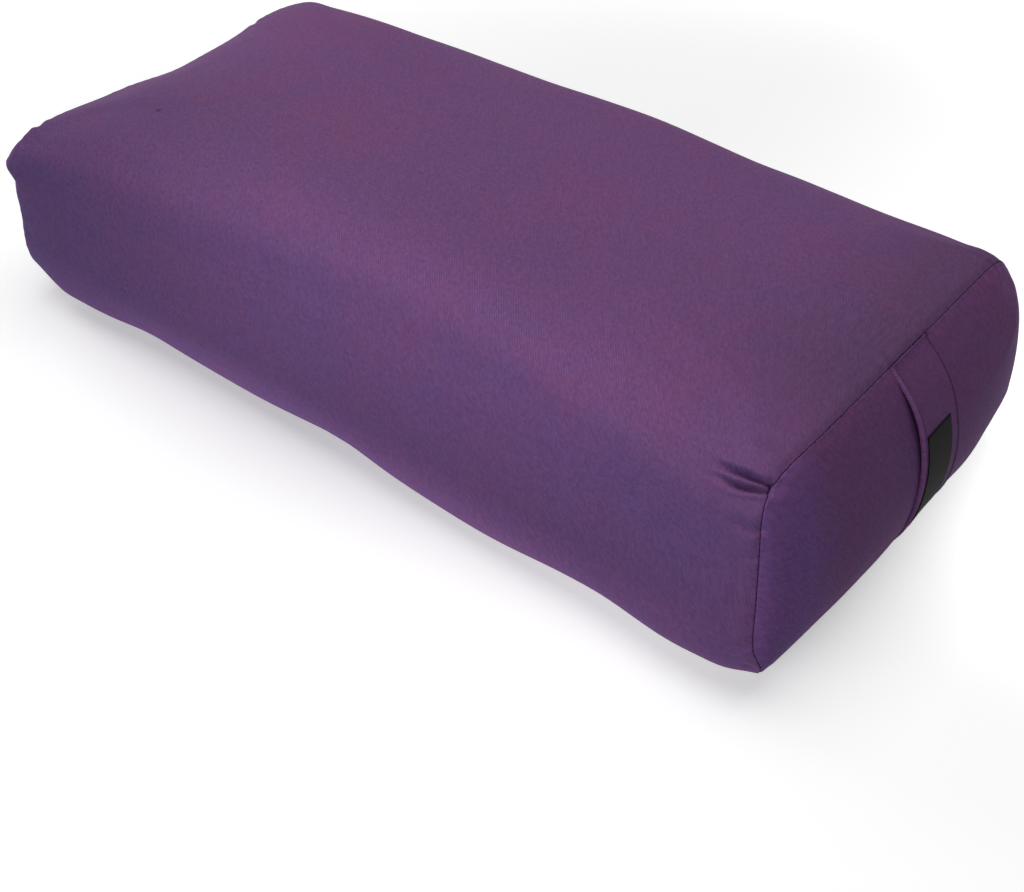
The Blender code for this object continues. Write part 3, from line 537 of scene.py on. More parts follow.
class Sheet:
    """Short ways to place and join nodes in one tree."""

    def __init__(self, tree):
        self.tree = tree

    def fill(self, sockets, sources):
        """Links a wire to each socket named, or sets its value."""
        for key, source in sources.items():
            if isinstance(source, Wire):
                self.tree.links.new(source.socket, sockets[key])
            else:
                sockets[key].default_value = (*source, 1.0) if sockets[key].type == "RGBA" else source

    def node(self, kind, sources, take=0, **settings):
        """Places a node and gives the output to take from it, or a list of several."""
        made = self.tree.nodes.new("ShaderNode" + kind)
        for key, value in settings.items():
            setattr(made, key, value)
        self.fill(made.inputs, sources)
        if isinstance(take, tuple):
            return [Wire(self, made.outputs[key]) for key in take]
        return Wire(self, made.outputs[take])

    def group(self, name, sources, take="Colour"):
        return self.node("Group", sources, take, node_tree=GROUPS[name])

    def math(self, operation, *values):
        return self.node("Math", dict(enumerate(values)), operation=operation)

    def mix(self, share, a, b, blend="MIX"):
        return self.node("Mix", {0: share, 6: a, 7: b}, 2, data_type="RGBA", blend_type=blend)

    def tinted(self, colour, tint):
        return self.mix(1.0, colour, tint, "MULTIPLY")

    def place(self, output="Object"):
        return self.node("TexCoord", {}, output)

    def split(self, vector):
        return self.node("SeparateXYZ", {0: vector}, (0, 1, 2))

    def distance(self, a, b):
        return self.node("VectorMath", {0: a, 1: b}, "Value", operation="DISTANCE")

    def noise(self, where, scale, detail=2.0, rough=0.5):
        sources = {"Vector": where, "Scale": scale, "Detail": detail, "Roughness": rough}
        return self.node("TexNoise", sources, "Fac")

    def ramp(self, value, low, high):
        """0 at the low limit and 1 at the high one, smooth in between."""
        sources = {"Value": value, "From Min": low, "From Max": high}
        return self.node("MapRange", sources, "Result", interpolation_type="SMOOTHSTEP")

    def bump(self, height, strength, distance):
        return self.node("Bump", {"Height": height, "Strength": strength, "Distance": distance}, "Normal")


def make_group(build, kind, **inputs):
    """A shader group from a function that turns its inputs into its outputs, which are all of one kind.

    An input's value gives its kind: none for a vector, three numbers for a colour, or one number.
    """
    group = bpy.data.node_groups.new(build.__name__, "ShaderNodeTree")
    labels = {key: key.replace("_", " ").title() for key in inputs}
    for key, value in inputs.items():
        sort = "Vector" if value is None else "Color" if isinstance(value, tuple) else "Float"
        socket = group.interface.new_socket(labels[key], in_out="INPUT", socket_type="NodeSocket" + sort)
        if value is not None:
            socket.default_value = (*value, 1.0) if sort == "Color" else value
    given = group.nodes.new("NodeGroupInput")
    s = Sheet(group)
    made = build(s, *(Wire(s, given.outputs[labels[key]]) for key in inputs))
    for label in made:
        group.interface.new_socket(label, in_out="OUTPUT", socket_type="NodeSocket" + kind)
    s.fill(group.nodes.new("NodeGroupOutput").inputs, made)
    return group


def twill_weave(s, cloth, spacing, angle):
    """Ribs of twill across the cloth's flat coordinates. Height stands up on the ribs, Yarn varies along them."""
    u, v, _ = s.split(cloth)
    cos, sin = s.math("COSINE", angle), s.math("SINE", angle)
    ribs = (v * cos - u * sin) / spacing + s.noise(cloth, 90.0) * 0.35
    steps = (u * cos + v * sin) / spacing + s.math("FLOOR", ribs) * 0.5
    wave, knots = (s.math("SINE", run * (2 * math.pi)) for run in (ribs, steps))
    cell = s.node("CombineXYZ", {0: s.math("FLOOR", steps * 0.5), 1: s.math("FLOOR", ribs)})
    fleck = s.node("TexWhiteNoise", {"Vector": cell}, "Value", noise_dimensions="2D")
    slubs = s.ramp(s.noise(cloth, 420.0, 2.0, 0.7), 0.30, 0.70)
    return {"Height": wave * 0.5 + 0.5 + knots * 0.16, "Yarn": fleck * 0.55 + slubs * 0.45}


def uneven_dye(s, colour, warm, cool, amount):
    """Uneven dye: patches that lean warm or cool."""
    patches = s.ramp(s.noise(s.place(), 9.0, 3.0, 0.55), 0.35, 0.68)
    small = s.ramp(s.noise(s.place(), 38.0, 3.0, 0.6), 0.38, 0.66)
    return {"Colour": s.mix(small * (amount * 0.6), s.mix(patches * amount, colour, warm), cool)}


def painted_facing_light(s, colour, top, side):
    """Painted light: tints the cloth by how far it faces up, the top a little lighter and pinker as the light falls on
    it, the sides a little bluer.
    """
    upward = s.ramp(s.split(s.place("Normal"))[2], *UPWARD)
    return {"Colour": s.tinted(colour, s.mix(upward, side, top))}


def painted_light_on_wrap(s, colour, rubbed, corner, foot, end):
    """Paints light and shade on the wrap: a sheen along its upper front edge, shade at its front corner at the plain
    end, bounce light along its foot, and its top darker by the handle end.
    """
    x, y, z = s.split(s.place())
    uneven = s.noise(s.place(), 7.0) * 0.05 - 0.025
    level = s.node("VectorMath", {0: s.place(), 1: (0.0, 1.0, 1.0)}, "Vector", operation="MULTIPLY")
    band = s.ramp(s.distance(level, SHEEN_LINE) + uneven, *SHEEN_BAND)
    shades = (
        # painted sheen along the upper front edge
        (rubbed, band * s.ramp(x, -0.24, 0.05) * (s.ramp(x, 0.30, 0.14) * 0.7 + 0.3)),
        # painted shade at the front corner of the plain end
        (corner, s.ramp(x + uneven, -0.06, -0.27) * s.ramp(y, 0.06, -0.12)),
        # painted bounce light from the floor along the foot
        (foot, s.ramp(z, 0.058, 0.006) * s.ramp(y, -0.10, -0.135) * s.ramp(x, -0.42, -0.06) * s.ramp(x, 0.40, 0.12)),
        (end, s.ramp(x, 0.19, 0.275) * s.ramp(y, -0.10, -0.03) * s.ramp(z, 0.09, 0.12)),
    )
    tint = WHITE
    for shade, share in shades:
        tint = s.mix(share, tint, shade)
    return {"Colour": s.tinted(colour, tint)}


def strap_edges(s, cloth, middle, half_width):
    """A strap's folded edges: Highlight is 1 where a highlight is painted on the folded edge, more on the near edge
    than the far one, and Line is 1 in the stitched groove beside it.
    """
    off = s.split(cloth)[0] - middle
    nearer = s.math("LESS_THAN", off, 0.0) * 0.75 + 0.25
    inward = half_width - s.math("ABSOLUTE", off) + (s.noise(cloth, 300.0) * 0.0008 - 0.0004)
    away = s.math("ABSOLUTE", inward - (STRAP_EDGE + 0.0009))
    highlight = s.ramp(inward, STRAP_EDGE + 0.0004, STRAP_EDGE - 0.0003) * nearer
    return {"Worn": highlight, "Line": s.ramp(away, 0.0009, 0.0003) * 0.6}


def lint_specks(s, spacing, share):
    """Sparse specks of pale lint: Mask is 1 on a speck."""
    cells = {"Vector": s.place(), "Scale": s.math("DIVIDE", 1.0, spacing)}
    away, chance = s.node("TexVoronoi", cells, ("Distance", "Color"), feature="F1")
    chosen, size = s.node("SeparateColor", {0: chance}, (0, 1))
    speck = s.math("LESS_THAN", away, size * 0.016 + 0.010)
    return {"Mask": s.math("LESS_THAN", chosen, share) * speck}


PLAIN_PURPLE, WHITE = (0.1, 0.05, 0.12), (1, 1, 1)
GROUPS = {
    "twill": make_group(twill_weave, "Float", cloth=None, rib_spacing=RIB_SPACING, angle=0.8),
    "dye": make_group(
        uneven_dye, "Color", colour=PLAIN_PURPLE, warm=(0.13, 0.05, 0.11), cool=(0.09, 0.05, 0.13), amount=0.5
    ),
    "facing_light": make_group(painted_facing_light, "Color", colour=PLAIN_PURPLE, top_tint=WHITE, side_tint=WHITE),
    "lint": make_group(lint_specks, "Float", spacing=0.02, share=0.12),
    "painted_light": make_group(
        painted_light_on_wrap, "Color", colour=PLAIN_PURPLE, rubbed_tint=WHITE, corner_tint=WHITE, foot_tint=WHITE, end_tint=WHITE
    ),
    "edges": make_group(strap_edges, "Float", cloth=None, middle=STRAP_OFFSET, half_width=STRAP_WIDTH / 2),
}


def new_finish(name):
    """An empty material, its sheet and its shader's sockets."""
    material = bpy.data.materials.new(name)
    material.use_nodes = True
    return material, Sheet(material.node_tree), material.node_tree.nodes["Principled BSDF"].inputs


def cloth_finish(name, colours, spacing=RIB_SPACING, angle=0.0, bump=RIB_DEPTH, roughness=0.75, sheen=0.03, gloss=0.08,
                 lint=0.0, facing_light=0.0, painted_light=False, near=False, edges=False):
    """A woven cloth in its plain, warm and cool colour, with ribs at this spacing and angle."""
    material, s, shader = new_finish(name)
    colour = colours[0]
    flat = s.node("UVMap", {}, "UV", uv_map="cloth")
    weave = {"Cloth": flat, "Rib Spacing": spacing, "Angle": math.radians(angle)}
    height, yarn = s.group("twill", weave, ("Height", "Yarn"))
    shade = s.group("dye", {**dict(zip(("Colour", "Warm", "Cool"), colours)), "Amount": 0.8})
    top, side = ([1 + facing_light * (t - 1) for t in tint] for tint in (TOP_TINT, SIDE_TINT))
    shade = s.group("facing_light", {"Colour": shade, "Top Tint": top, "Side Tint": side})
    # Painted light and shade on the wrap, and a small dark mark on its top
    if painted_light:
        tints = {"Rubbed Tint": SHEEN_BAND_TINT, "Corner Tint": PAINTED_SHADE_TINT, "Foot Tint": BOUNCE_LIGHT_TINT, "End Tint": END_TINT}
        clear = s.ramp(s.distance(s.place(), MARK_PLACE), *MARK_REACH)
        shade = s.mix(clear, [MARK_SHADE * c for c in colour], s.group("painted_light", {"Colour": shade, **tints}))
    # A painted sheen, lighter and bluer, along the end panels' front edges
    if near:
        shade = s.tinted(shade, s.mix(s.ramp(s.split(s.place())[1], *NEAR_LINE), WHITE, NEAR_SHEEN_TINT))
    # A painted highlight on the strap's folded edges, strongest on the near one, and a dark stitched line beside them
    if edges:
        highlight, line = s.group("edges", {"Cloth": flat}, ("Worn", "Line"))
        shade = s.mix(highlight, shade, [HIGHLIGHT_SHADE * c for c in colour])
        shade = s.mix(line, shade, [LINE_SHADE * c for c in colour])
    groove = (height * RIB_SHADE + (1 - RIB_SHADE / 2)) * (yarn * YARN_SHADE + (1 - YARN_SHADE / 2))
    mask = s.group("lint", {"Share": lint}, "Mask")
    s.fill(shader, {
        "Base Color": s.mix(mask, s.tinted(shade, groove), [0.35 + 0.5 * c for c in colour]),
        "Normal": s.bump(height, 0.6, bump), "Roughness": roughness, "Specular IOR Level": gloss,
        "Sheen Weight": sheen, "Sheen Roughness": 0.45, "Sheen Tint": (0.85, 0.60, 0.95),
    })
    return material


def plain_finish(name, colour, roughness, metallic=0.0, grain=400.0, depth=0.00005, gloss=0.3):
    """A finely speckled finish."""
    material, s, shader = new_finish(name)
    speck = s.noise(s.place(), grain, 4.0, 0.6)
    s.fill(shader, {
        "Base Color": s.mix(speck, colour, [0.75 * c for c in colour]),
        "Roughness": speck * 0.2 + (roughness - 0.1), "Normal": s.bump(speck, 0.5, depth),
        "Metallic": metallic, "Specular IOR Level": gloss,
    })
    return material


# Cover


def stations():
    """Places along the cover: even over the middle, and closer together at the slot's ends and the seams."""
    half = [0.0]
    for end, step in ((0.232, MIDDLE_STEP), (0.250, 0.0010), (0.262, 0.0013), (0.2888, 0.0010)):
        half += list(np.linspace(half[-1], end, round((end - half[-1]) / step) + 1)[1:])
    half = np.concatenate([half, SEAM_HALF - SEAM_STEPS[::-1]])
    return np.concatenate([-half[:0:-1], half])


def lip(distance):
    """How far a rolled edge has sunk into its seam at this distance from it."""
    room = np.clip(LIP_RADIUS - distance, 0.0, LIP_RADIUS)
    return LIP_RADIUS - np.sqrt(LIP_RADIUS**2 - room**2)


def seam_frame(side):
    """Points round a seam, and the way out of it."""
    line = settle(side * SEAM_HALF, *section(SEAM_HALF, TURNS))
    inside = settle(side * (SEAM_HALF - 0.004), *section(SEAM_HALF - 0.004, TURNS))
    panel = panel_at(side, *section(SEAM_HALF, TURNS, 0.002))
    round_step = np.roll(line, -1, axis=0) - np.roll(line, 1, axis=0)
    wrap_out = unit(np.cross(round_step, line - inside) * side)
    panel_out = unit(np.cross(round_step, panel - line) * side)
    wrap_out *= np.sign((wrap_out * (line - [[side * SEAM_HALF, 0, CENTRE_HEIGHT]])).sum(-1, keepdims=True))
    panel_out *= np.sign(panel_out[:, :1]) * side
    return line, unit(wrap_out + panel_out)


SEAMS = {side: seam_frame(side) for side in (-1, 1)}


def seam_depths(side):
    """How deep a seam sits at each place round it, uneven as sewn cloth is."""
    return 1.0 + 0.22 * wander(0.030, 11 + side) + 0.15 * wander(0.011, 12 + side)


def pucker(distance, seed):
    """Small gathers along a seam, which die away from it."""
    strength = 0.5 + 0.5 * wander(0.09, seed + 2)
    waves = wander(0.0085, seed + 3) * np.clip(strength, 0.1, 1.4)
    return waves * np.exp(-distance / GATHER_REACH) * np.minimum(distance / 0.0015, 1.0)


def sew(side, points, distance, outward, bumps, folded):
    """Cloth near a seam as it is sewn: rolled in at its edge, gathered, and sunk into the folds."""
    share = smooth(distance / (2 * LIP_RADIUS))[..., None]
    way = unit(SEAMS[side][1][None] * (1 - share) + outward * share)
    depth = lip(distance) * seam_depths(side)[None] + SEAM_DIP * np.exp(-distance / SEAM_DIP_REACH)
    sewn = way * (bumps - depth)[..., None]
    sewn[folded] -= way[folded] * fold_depths(points[folded])[..., None]
    return sewn


def fold_depths(points):
    """How far each point sinks into the folds, or stands up beside them."""
    sunk = np.zeros(points.shape[:-1])
    for depth, half_width, line in FOLDS:
        line, depth, half_width = 0.001 * np.array(line), 0.001 * depth, 0.001 * half_width
        low, high = line.min(axis=0) - 4 * half_width, line.max(axis=0) + 4 * half_width
        near = np.all((points > low) & (points < high), axis=-1)
        spot = points[near]
        reach = around(line)
        best, along = np.full(len(spot), 1.0), np.zeros(len(spot))
        for k in range(len(line) - 1):
            way = line[k + 1] - line[k]
            share = np.clip(((spot - line[k]) @ way) / (way @ way), 0.0, 1.0)
            away = np.linalg.norm(spot - line[k] - share[:, None] * way, axis=1)
            along = np.where(away < best, (reach[k] + share * (reach[k + 1] - reach[k])) / reach[-1], along)
            best = np.minimum(best, away)
        wide = half_width * (1 + 0.5 * along)
        valley = np.exp(-((best / wide) ** 2))
        ridge = RIDGE_SHARE * np.exp(-(((best - 2.1 * wide) / wide) ** 2)) * smooth(along / 0.12)
        sunk[near] += depth * (1 - smooth((along - 0.35) / 0.65)) * (valley - ridge)
    return np.where(sunk > 0, MOST_SUNK * np.tanh(sunk / MOST_SUNK), sunk)


def bell(reach):
    """Shifts by whole cells, and their bell-shaped weights."""
    spread = np.arange(-3 * reach, 3 * reach + 1)
    weights = np.exp(-0.5 * (spread / reach) ** 2)
    return spread, weights / weights.sum()


def blurred_rows(values, reach):
    """Rows of a grid smoothed over this many cells."""
    padded = np.pad(values, ((3 * reach,) * 2, (0, 0)), mode="edge")
    return sum(w * padded[k : k + len(values)] for k, w in enumerate(bell(reach)[1]))


def blurred(values, reach):
    """A grid smoothed over this many cells, going round its columns too."""
    out = blurred_rows(values, reach)
    return sum(w * np.roll(out, -k, axis=1) for k, w in zip(*bell(reach)))


def stuff_cover():
    """Blows up a coarse copy of the whole cover by cloth simulation and keeps its ripples.

    Gives the ripples over the wrap, by place along it, and over both end panels, by share out from the middle.
    """
    x = np.linspace(-SEAM_HALF, SEAM_HALF, STUFF_ROWS)[:, None]
    turns = even_turns(STUFF_COLUMNS)[None, :]
    shares = np.linspace(1.0, 0.02, STUFF_RINGS)[1:, None]
    y, z = section(SEAM_HALF, turns)
    caps = [panel_at(side, y * shares, z * shares) for side in (-1, 1)]
    points = np.concatenate([caps[0][::-1], settle(x, *section(x, turns)), caps[1]])
    rows, columns = points.shape[:2]
    plain = bpy.data.materials.new("stuffing_trial")
    trial = grid_piece("stuffing_trial", points, np.zeros((rows, columns, 2)), plain)
    first, last = STUFF_RINGS - 1, rows - STUFF_RINGS
    seams = trial.vertex_groups.new(name="seams")
    seams.add([r * columns + c for r in (first, last) for c in range(columns)], 1.0, "REPLACE")
    slack = trial.vertex_groups.new(name="slack")
    for r in range(rows):
        inside = min(abs(r - first), abs(r - last)) / STUFF_SLACK_ROWS
        slack.add(list(range(r * columns, (r + 1) * columns)), max(0.25, 1.0 - inside), "REPLACE")
    cloth = trial.modifiers.new("stuffing", "CLOTH")
    for key, value in STUFFING.items():
        setattr(cloth.settings, key, value)
    cloth.settings.effector_weights.gravity = 0.0
    cloth.point_cache.frame_start, cloth.point_cache.frame_end = 1, STUFF_FRAMES
    for step in range(1, STUFF_FRAMES + 1):
        bpy.context.scene.frame_set(step)
    stuffed = trial.evaluated_get(bpy.context.evaluated_depsgraph_get()).data
    after = np.empty(rows * columns * 3)
    stuffed.vertices.foreach_get("co", after)
    bpy.context.scene.frame_set(1)
    bpy.data.meshes.remove(trial.data)
    bpy.data.materials.remove(plain)
    stood = ((after.reshape(points.shape) - points) * outward_normals(points)).sum(axis=-1)
    ripples = stood - blurred(stood, STUFF_BLUR)
    ripples[first : last + 1] -= np.median(ripples[first : last + 1], axis=0)
    near = np.exp(-np.arange(STUFF_RINGS) / 3.0)[:, None]
    ripples[: first + 1] *= near[::-1]
    ripples[last:] *= near
    ripples = blurred(STUFF_MOST * np.tanh(ripples / STUFF_MOST), 1)
    return ripples[: first + 1][::-1], ripples[first : last + 1], ripples[last:]


def between(t, a, b, c, d):
    """A smooth value at share t from b to c, with a before and d after them."""
    return b + 0.5 * t * (c - a + t * (2 * a - 5 * b + 4 * c - d + t * (3 * (b - c) + d - a)))


def ripples_at(ripples, rows, turns):
    """Ripples at places given by their row in the coarse cover and their turn round it."""
    first = np.clip(np.floor(rows).astype(int), 0, len(ripples) - 2)
    beside = (ripples[np.clip(first + k, 0, len(ripples) - 1)] for k in (-1, 0, 1, 2))
    down = between((rows - first)[:, None], *beside)
    coarse = even_turns(STUFF_COLUMNS)
    coarse = np.concatenate([coarse, coarse + 2 * np.pi])
    columns = np.interp(np.mod(turns, 2 * np.pi), coarse, np.arange(len(coarse)))
    first = np.floor(columns).astype(int)
    beside = (np.take_along_axis(down, (first + k) % STUFF_COLUMNS, axis=1) for k in (-1, 0, 1, 2))
    return between(columns - first, *beside)


def make_wrap(finish, ripples):
    """The wrap from seam to seam. Gives it with its points, their distances from the closing seam, and their x."""
    x = stations()
    turns, apart = (np.array(part) for part in zip(*(turns_at(place) for place in x)))
    points = settle(x[:, None], *section(x[:, None], turns))
    outward = outward_normals(points)
    moved = points.copy()
    for side in (-1, 1):
        distance = np.clip(SEAM_HALF - side * x, 0.0, None)[:, None]
        bumps = WRAP_GATHER * pucker(distance, 21 + side)
        moved += sew(side, points, distance, outward, bumps, side * x > FOLDS_FROM)
    moved -= outward * closing_depths(x, points, apart)[..., None]
    if ripples is not None:
        rows = (x + SEAM_HALF) / (2 * SEAM_HALF) * (STUFF_ROWS - 1)
        away = smooth((SEAM_HALF - np.abs(x)) / 0.006)[:, None] * smooth((FROM_CLOSING - 0.006) / 0.020)[None, :]
        moved += outward * (ripples_at(ripples, rows, turns) * away)[..., None]
    first, last = (moved[[row]] - SEAMS[side][1] * TUCK_DEPTH for row, side in ((0, -1), (-1, 1)))
    moved = np.concatenate([first, moved, last])
    moved[..., 2] = np.maximum(moved[..., 2], 0.0)
    u = np.concatenate([x[:1] - TUCK_DEPTH, x, x[-1:] + TUCK_DEPTH])
    v = around(points[len(x) // 2])[None, :] + CLOSING_SIDE * (apart[[0, *range(len(x)), -1]] - FROM_CLOSING)
    flat = np.stack(np.broadcast_arrays(u[:, None], v), axis=-1)
    kept = np.ones((len(u) - 1, COLUMNS), bool)
    kept[:, -1] = slot_share((u[1:] + u[:-1]) / 2) < 0.03
    wrap = grid_piece("cover_wrap_cloth", moved, flat, finish, round_length=v[0, -1], kept=kept)
    return wrap, moved[1:-1], apart, x


def closing_depths(x, points, apart):
    """How far the cloth dips to the zip and turns in at the edges of its slot, and sinks into the closing seam."""
    edge = np.where(FROM_CLOSING <= CLOSING_EDGE + 1e-6, 1.0, 0.0)
    open_share = slot_share(x)[:, None]
    along = smooth((0.275 - np.abs(x)) / 0.025)[:, None]
    face = points[:, [2], 1]
    dip = np.maximum(face - SLOT_FACE, 0.0) * along
    fall = 1 - smooth((apart - SLOT_HALF * open_share) / 0.040)
    turned_in = edge * (CLOSING_EDGE - FROM_CLOSING) / (CLOSING_EDGE - CLOSING_STEPS[0])
    at_seam = smooth((SEAM_HALF - np.abs(x)) / 0.003)[:, None]
    depth = dip * fall + turned_in * 0.0013 * at_seam
    roll = lip(np.maximum(FROM_CLOSING - CLOSING_EDGE, 0.0))
    return depth + 0.75 * roll[None, :] * at_seam * (1 - 0.4 * open_share)


def make_end_panel(name, side, finish, ripples):
    """An end panel as rings from its seam to its middle."""
    distance = np.concatenate([SEAM_STEPS, SEAM_STEPS[-1] + np.cumsum(np.linspace(0.0008, 0.0020, 18))])[:, None]
    y, z = section(SEAM_HALF, TURNS[None, :], distance)
    y, z = np.concatenate([y, y[-1:] * PANEL_RINGS]), np.concatenate([z, z[-1:] * PANEL_RINGS])
    distance = np.concatenate([distance, np.full_like(PANEL_RINGS, 0.05)])
    points = panel_at(side, y, z)
    outward = grid_normals(points)
    outward *= np.sign(outward[12, :, 0].sum()) * side
    bumps = PANEL_GATHER * pucker(distance, 41 + side)
    moved = points + sew(side, points, distance, outward, bumps, slice(None))
    if ripples is not None:
        rows = np.clip((1 - ring_share(y, z).mean(axis=1)) / 0.98 * (STUFF_RINGS - 1), 0, STUFF_RINGS - 1)
        rippled = ripples_at(ripples, rows, np.broadcast_to(TURNS, y.shape))
        moved += outward * (rippled * smooth(distance / 0.006))[..., None]
    moved = np.concatenate([moved[:1] - SEAMS[side][1] * TUCK_DEPTH, moved])
    moved[..., 2] = np.maximum(moved[..., 2], 0.0)
    return grid_piece(name, moved, moved[..., 1:3].copy(), finish, turned=side < 0)


# Stitches


def stitch_row(name, places, ways, outs, length, radius, finish, *dressing):
    """A row of short stitches, each a small rounded bar that dips into the cloth at both ends."""
    along = np.array([-0.5, -0.46, -0.3, 0.0, 0.3, 0.46, 0.5])[:, None] * length
    girth = np.array([0.05, 0.7, 1.0, 1.0, 1.0, 0.7, 0.05]) * radius
    sink = np.array([1.2, 0.8, 0.25, 0.0, 0.25, 0.8, 1.2])[:, None] * radius
    across = unit(np.cross(ways, outs))
    places, ways, outs, across = (a[:, None] for a in (places, ways, unit(np.cross(across, ways)), across))
    points = rings(places + ways * along - outs * sink, across, outs, girth, 6)
    dress(tubes_piece(name, points, finish), *dressing)


def spots_on(spots, reach, values):
    """Rows of three values at these distances along a line."""
    return np.stack([np.interp(spots, reach, values[:, k]) for k in range(3)], -1)


def resample(line, pitch, closed=False):
    """Points at an even pitch along a line of points, with the directions along it."""
    if closed:
        line = np.concatenate([line, line[:1]])
    reach = around(line)
    count = max(2, round(reach[-1] / pitch))
    spots = (np.arange(count) + 0.5) * reach[-1] / count
    places, after, before = (spots_on(spots + shift, reach, line) for shift in (0, pitch / 8, -pitch / 8))
    return places, unit(after - before), spots


def make_seam_stitches(end, side, finish):
    line, seam_out = SEAMS[side]
    depth = 0.9 * LIP_RADIUS * seam_depths(side) + 0.0004 + fold_depths(line)
    places, ways, spots = resample(line - seam_out * depth[:, None], STITCH_PITCH, closed=True)
    outs = spots_on(spots, PLACES, seam_out)
    stitch_row("seam_stitches_" + end, places, ways, outs, STITCH_LENGTH, THREAD_RADIUS, finish,
               "bolster", "purple_thread", "seam_thread_" + end)


def make_topstitch(cloth, apart, x, finish):
    """A box of stitches round the zip's slot, on the finished cloth."""
    rows = np.where(np.abs(x) <= TOPSTITCH_END + 0.0004)[0]
    lines = {}
    for name, chosen in (("upper", CLOSING_SIDE > 0), ("lower", CLOSING_SIDE < 0)):
        near = np.where(chosen)[0]
        near = near[np.argsort(apart[0][near])]
        lines[name] = np.array([spots_on(TOPSTITCH_OUT, apart[i, near], cloth[i, near]) for i in rows])
    for name, end in (("handle", -1), ("plain", 0)):
        inside = cloth[rows[end], apart[rows[end]] <= TOPSTITCH_OUT]
        inside = inside[np.argsort(inside[:, 2])]
        inside[:, 1] = inside[:, 1].max()
        lines[name] = np.concatenate([lines["lower"][[end]], inside, lines["upper"][[end]]])
    for name, pitch, length in (
        ("upper", 0.0032, 0.0025), ("lower", 0.0032, 0.0025), ("handle", 0.0030, 0.0024), ("plain", 0.0030, 0.0024),
    ):
        places, ways, _ = resample(lines[name], pitch)
        outs = np.tile([0.0, 1.0, 0.0], (len(places), 1))
        stitch_row("zip_topstitch_" + name, places, ways, outs, length, TOPSTITCH_RADIUS, finish,
                   "bolster", "purple_thread")


def make_overlock(end, side, finish):
    """A zigzag of thread that binds the seam's raw edges inside the cover."""
    line, seam_out = SEAMS[side]
    places, ways, spots = resample(line, 0.0013, closed=True)
    outs = unit(spots_on(spots, PLACES, seam_out))
    flank = unit(np.cross(ways, outs))
    k = np.arange(len(places))
    depth = np.where(k % 2 == 0, 0.0042, 0.0072)
    over = np.array([0.0011, 0.0011, -0.0011, -0.0011])[k % 4]
    path = places - outs * depth[:, None] + flank * over[:, None]
    points = rings(path, outs, flank, THREAD_RADIUS, 5)
    points = np.concatenate([points, points[:1]])
    binding = grid_piece("overlock_" + end, points, points[..., :2].copy(), finish)
    dress(binding, "bolster", "purple_thread", "seam_overlock_" + end)


# Strap and label


def strap_table(count=201, softness=4):
    """How far the strap's near and far edges stand out from the panel, at even shares of its height."""
    shares = np.linspace(-1.0, 1.0, count)
    rises = [np.interp(shares, STRAP_SHARES, r) for r in (STRAP_NEAR_RISES, STRAP_FAR_RISES)]
    return blurred_rows(0.001 * np.stack(rises, axis=-1), softness)


STRAP_TABLE = strap_table()


def strap_surface(y, share, lift=0.0):
    """The strap's outer face: share runs from -1 at the lower seam to 1 at the upper one."""
    across = np.clip((y - STRAP_OFFSET) / STRAP_WIDTH + 0.5, 0, 1)
    spots = (np.clip(share, -1, 1) + 1) / 2 * (len(STRAP_TABLE) - 1)
    near, far = (np.interp(spots, np.arange(len(STRAP_TABLE)), STRAP_TABLE[:, k]) for k in (0, 1))
    return panel_at(1, y, share * END_HALF_HEIGHT, near + (far - near) * across + lift)


def band(name, place, across, shares, thickness, finish, hem=0.0, root=False):
    """A flat band of woven cloth with rounded edges: one closed loop of points for each row along it."""
    half, middle, soft = (across[-1] - across[0]) / 2, (across[-1] + across[0]) / 2, thickness / 2
    share, y = np.meshgrid(shares, across, indexing="ij")
    face = place(y, share)
    by_y = place(y + 0.0002, share) - place(y - 0.0002, share)
    by_share = place(y, share + 0.002) - place(y, share - 0.002)
    out = unit(np.cross(by_y, by_share))
    out *= np.sign(out[..., :1].mean())
    edge = half - np.abs(y - middle)
    full = np.sqrt(np.clip(1 - np.clip(1 - edge / soft, 0, 1) ** 2, 0, 1)) * soft
    full = full + hem * np.exp(-(((edge - STRAP_EDGE) / 0.0010) ** 2)) * np.clip(edge / soft, 0, 1)
    full = full - 1.1 * hem * np.exp(-(((edge - 0.0036) / 0.0005) ** 2))
    centre = face - out * soft
    front, back = centre + out * full[..., None], centre - out * full[..., None]
    rows = np.concatenate([front, back[:, -2:0:-1]], axis=1)
    flat = np.stack(np.broadcast_arrays(around(face[:, len(across) // 2])[:, None], y), -1)
    flat = np.concatenate([flat, flat[:, -2:0:-1]], axis=1)
    if not root:
        loops = np.concatenate([centre, centre[:, -2:0:-1]], axis=1)
        first, last = (centre[row].mean(axis=0) * 0.02 + 0.98 * loops[[row]] for row in (0, -1))
        rows = np.concatenate([first, rows, last])
        flat = np.concatenate([flat[:1], flat, flat[-1:]])
    return grid_piece(name, rows, flat[..., ::-1], finish), face, out


def make_strap(finish):
    """The strap in two lengths, each sewn in at one end."""
    edge = np.concatenate([np.linspace(0, 0.0048, 13), np.linspace(0.0062, STRAP_WIDTH / 2, 12)])
    across = STRAP_OFFSET - STRAP_WIDTH / 2 + np.concatenate([edge, STRAP_WIDTH - edge[-2::-1]])
    upper = np.concatenate([np.linspace(1.0, 0.88, 10), np.linspace(0.86, -0.1, 40)])
    lower = np.concatenate([np.linspace(-0.1, -0.86, 34), np.linspace(-0.88, -1.0, 10)])
    for name, shares, nodes, start, end in (
        ("strap_upper", upper, ("handle_upper_leg", "handle_grip"), STRAP_SEAMS[0], GRIP_TOP),
        ("strap_lower", lower, ("handle_lower_leg",), STRAP_SEAMS[1], GRIP_BOTTOM),
    ):
        strap, _, _ = band(name, strap_surface, across, shares, STRAP_THICKNESS, finish, hem=HEM, root=True)
        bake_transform(strap)
        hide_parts(*nodes)


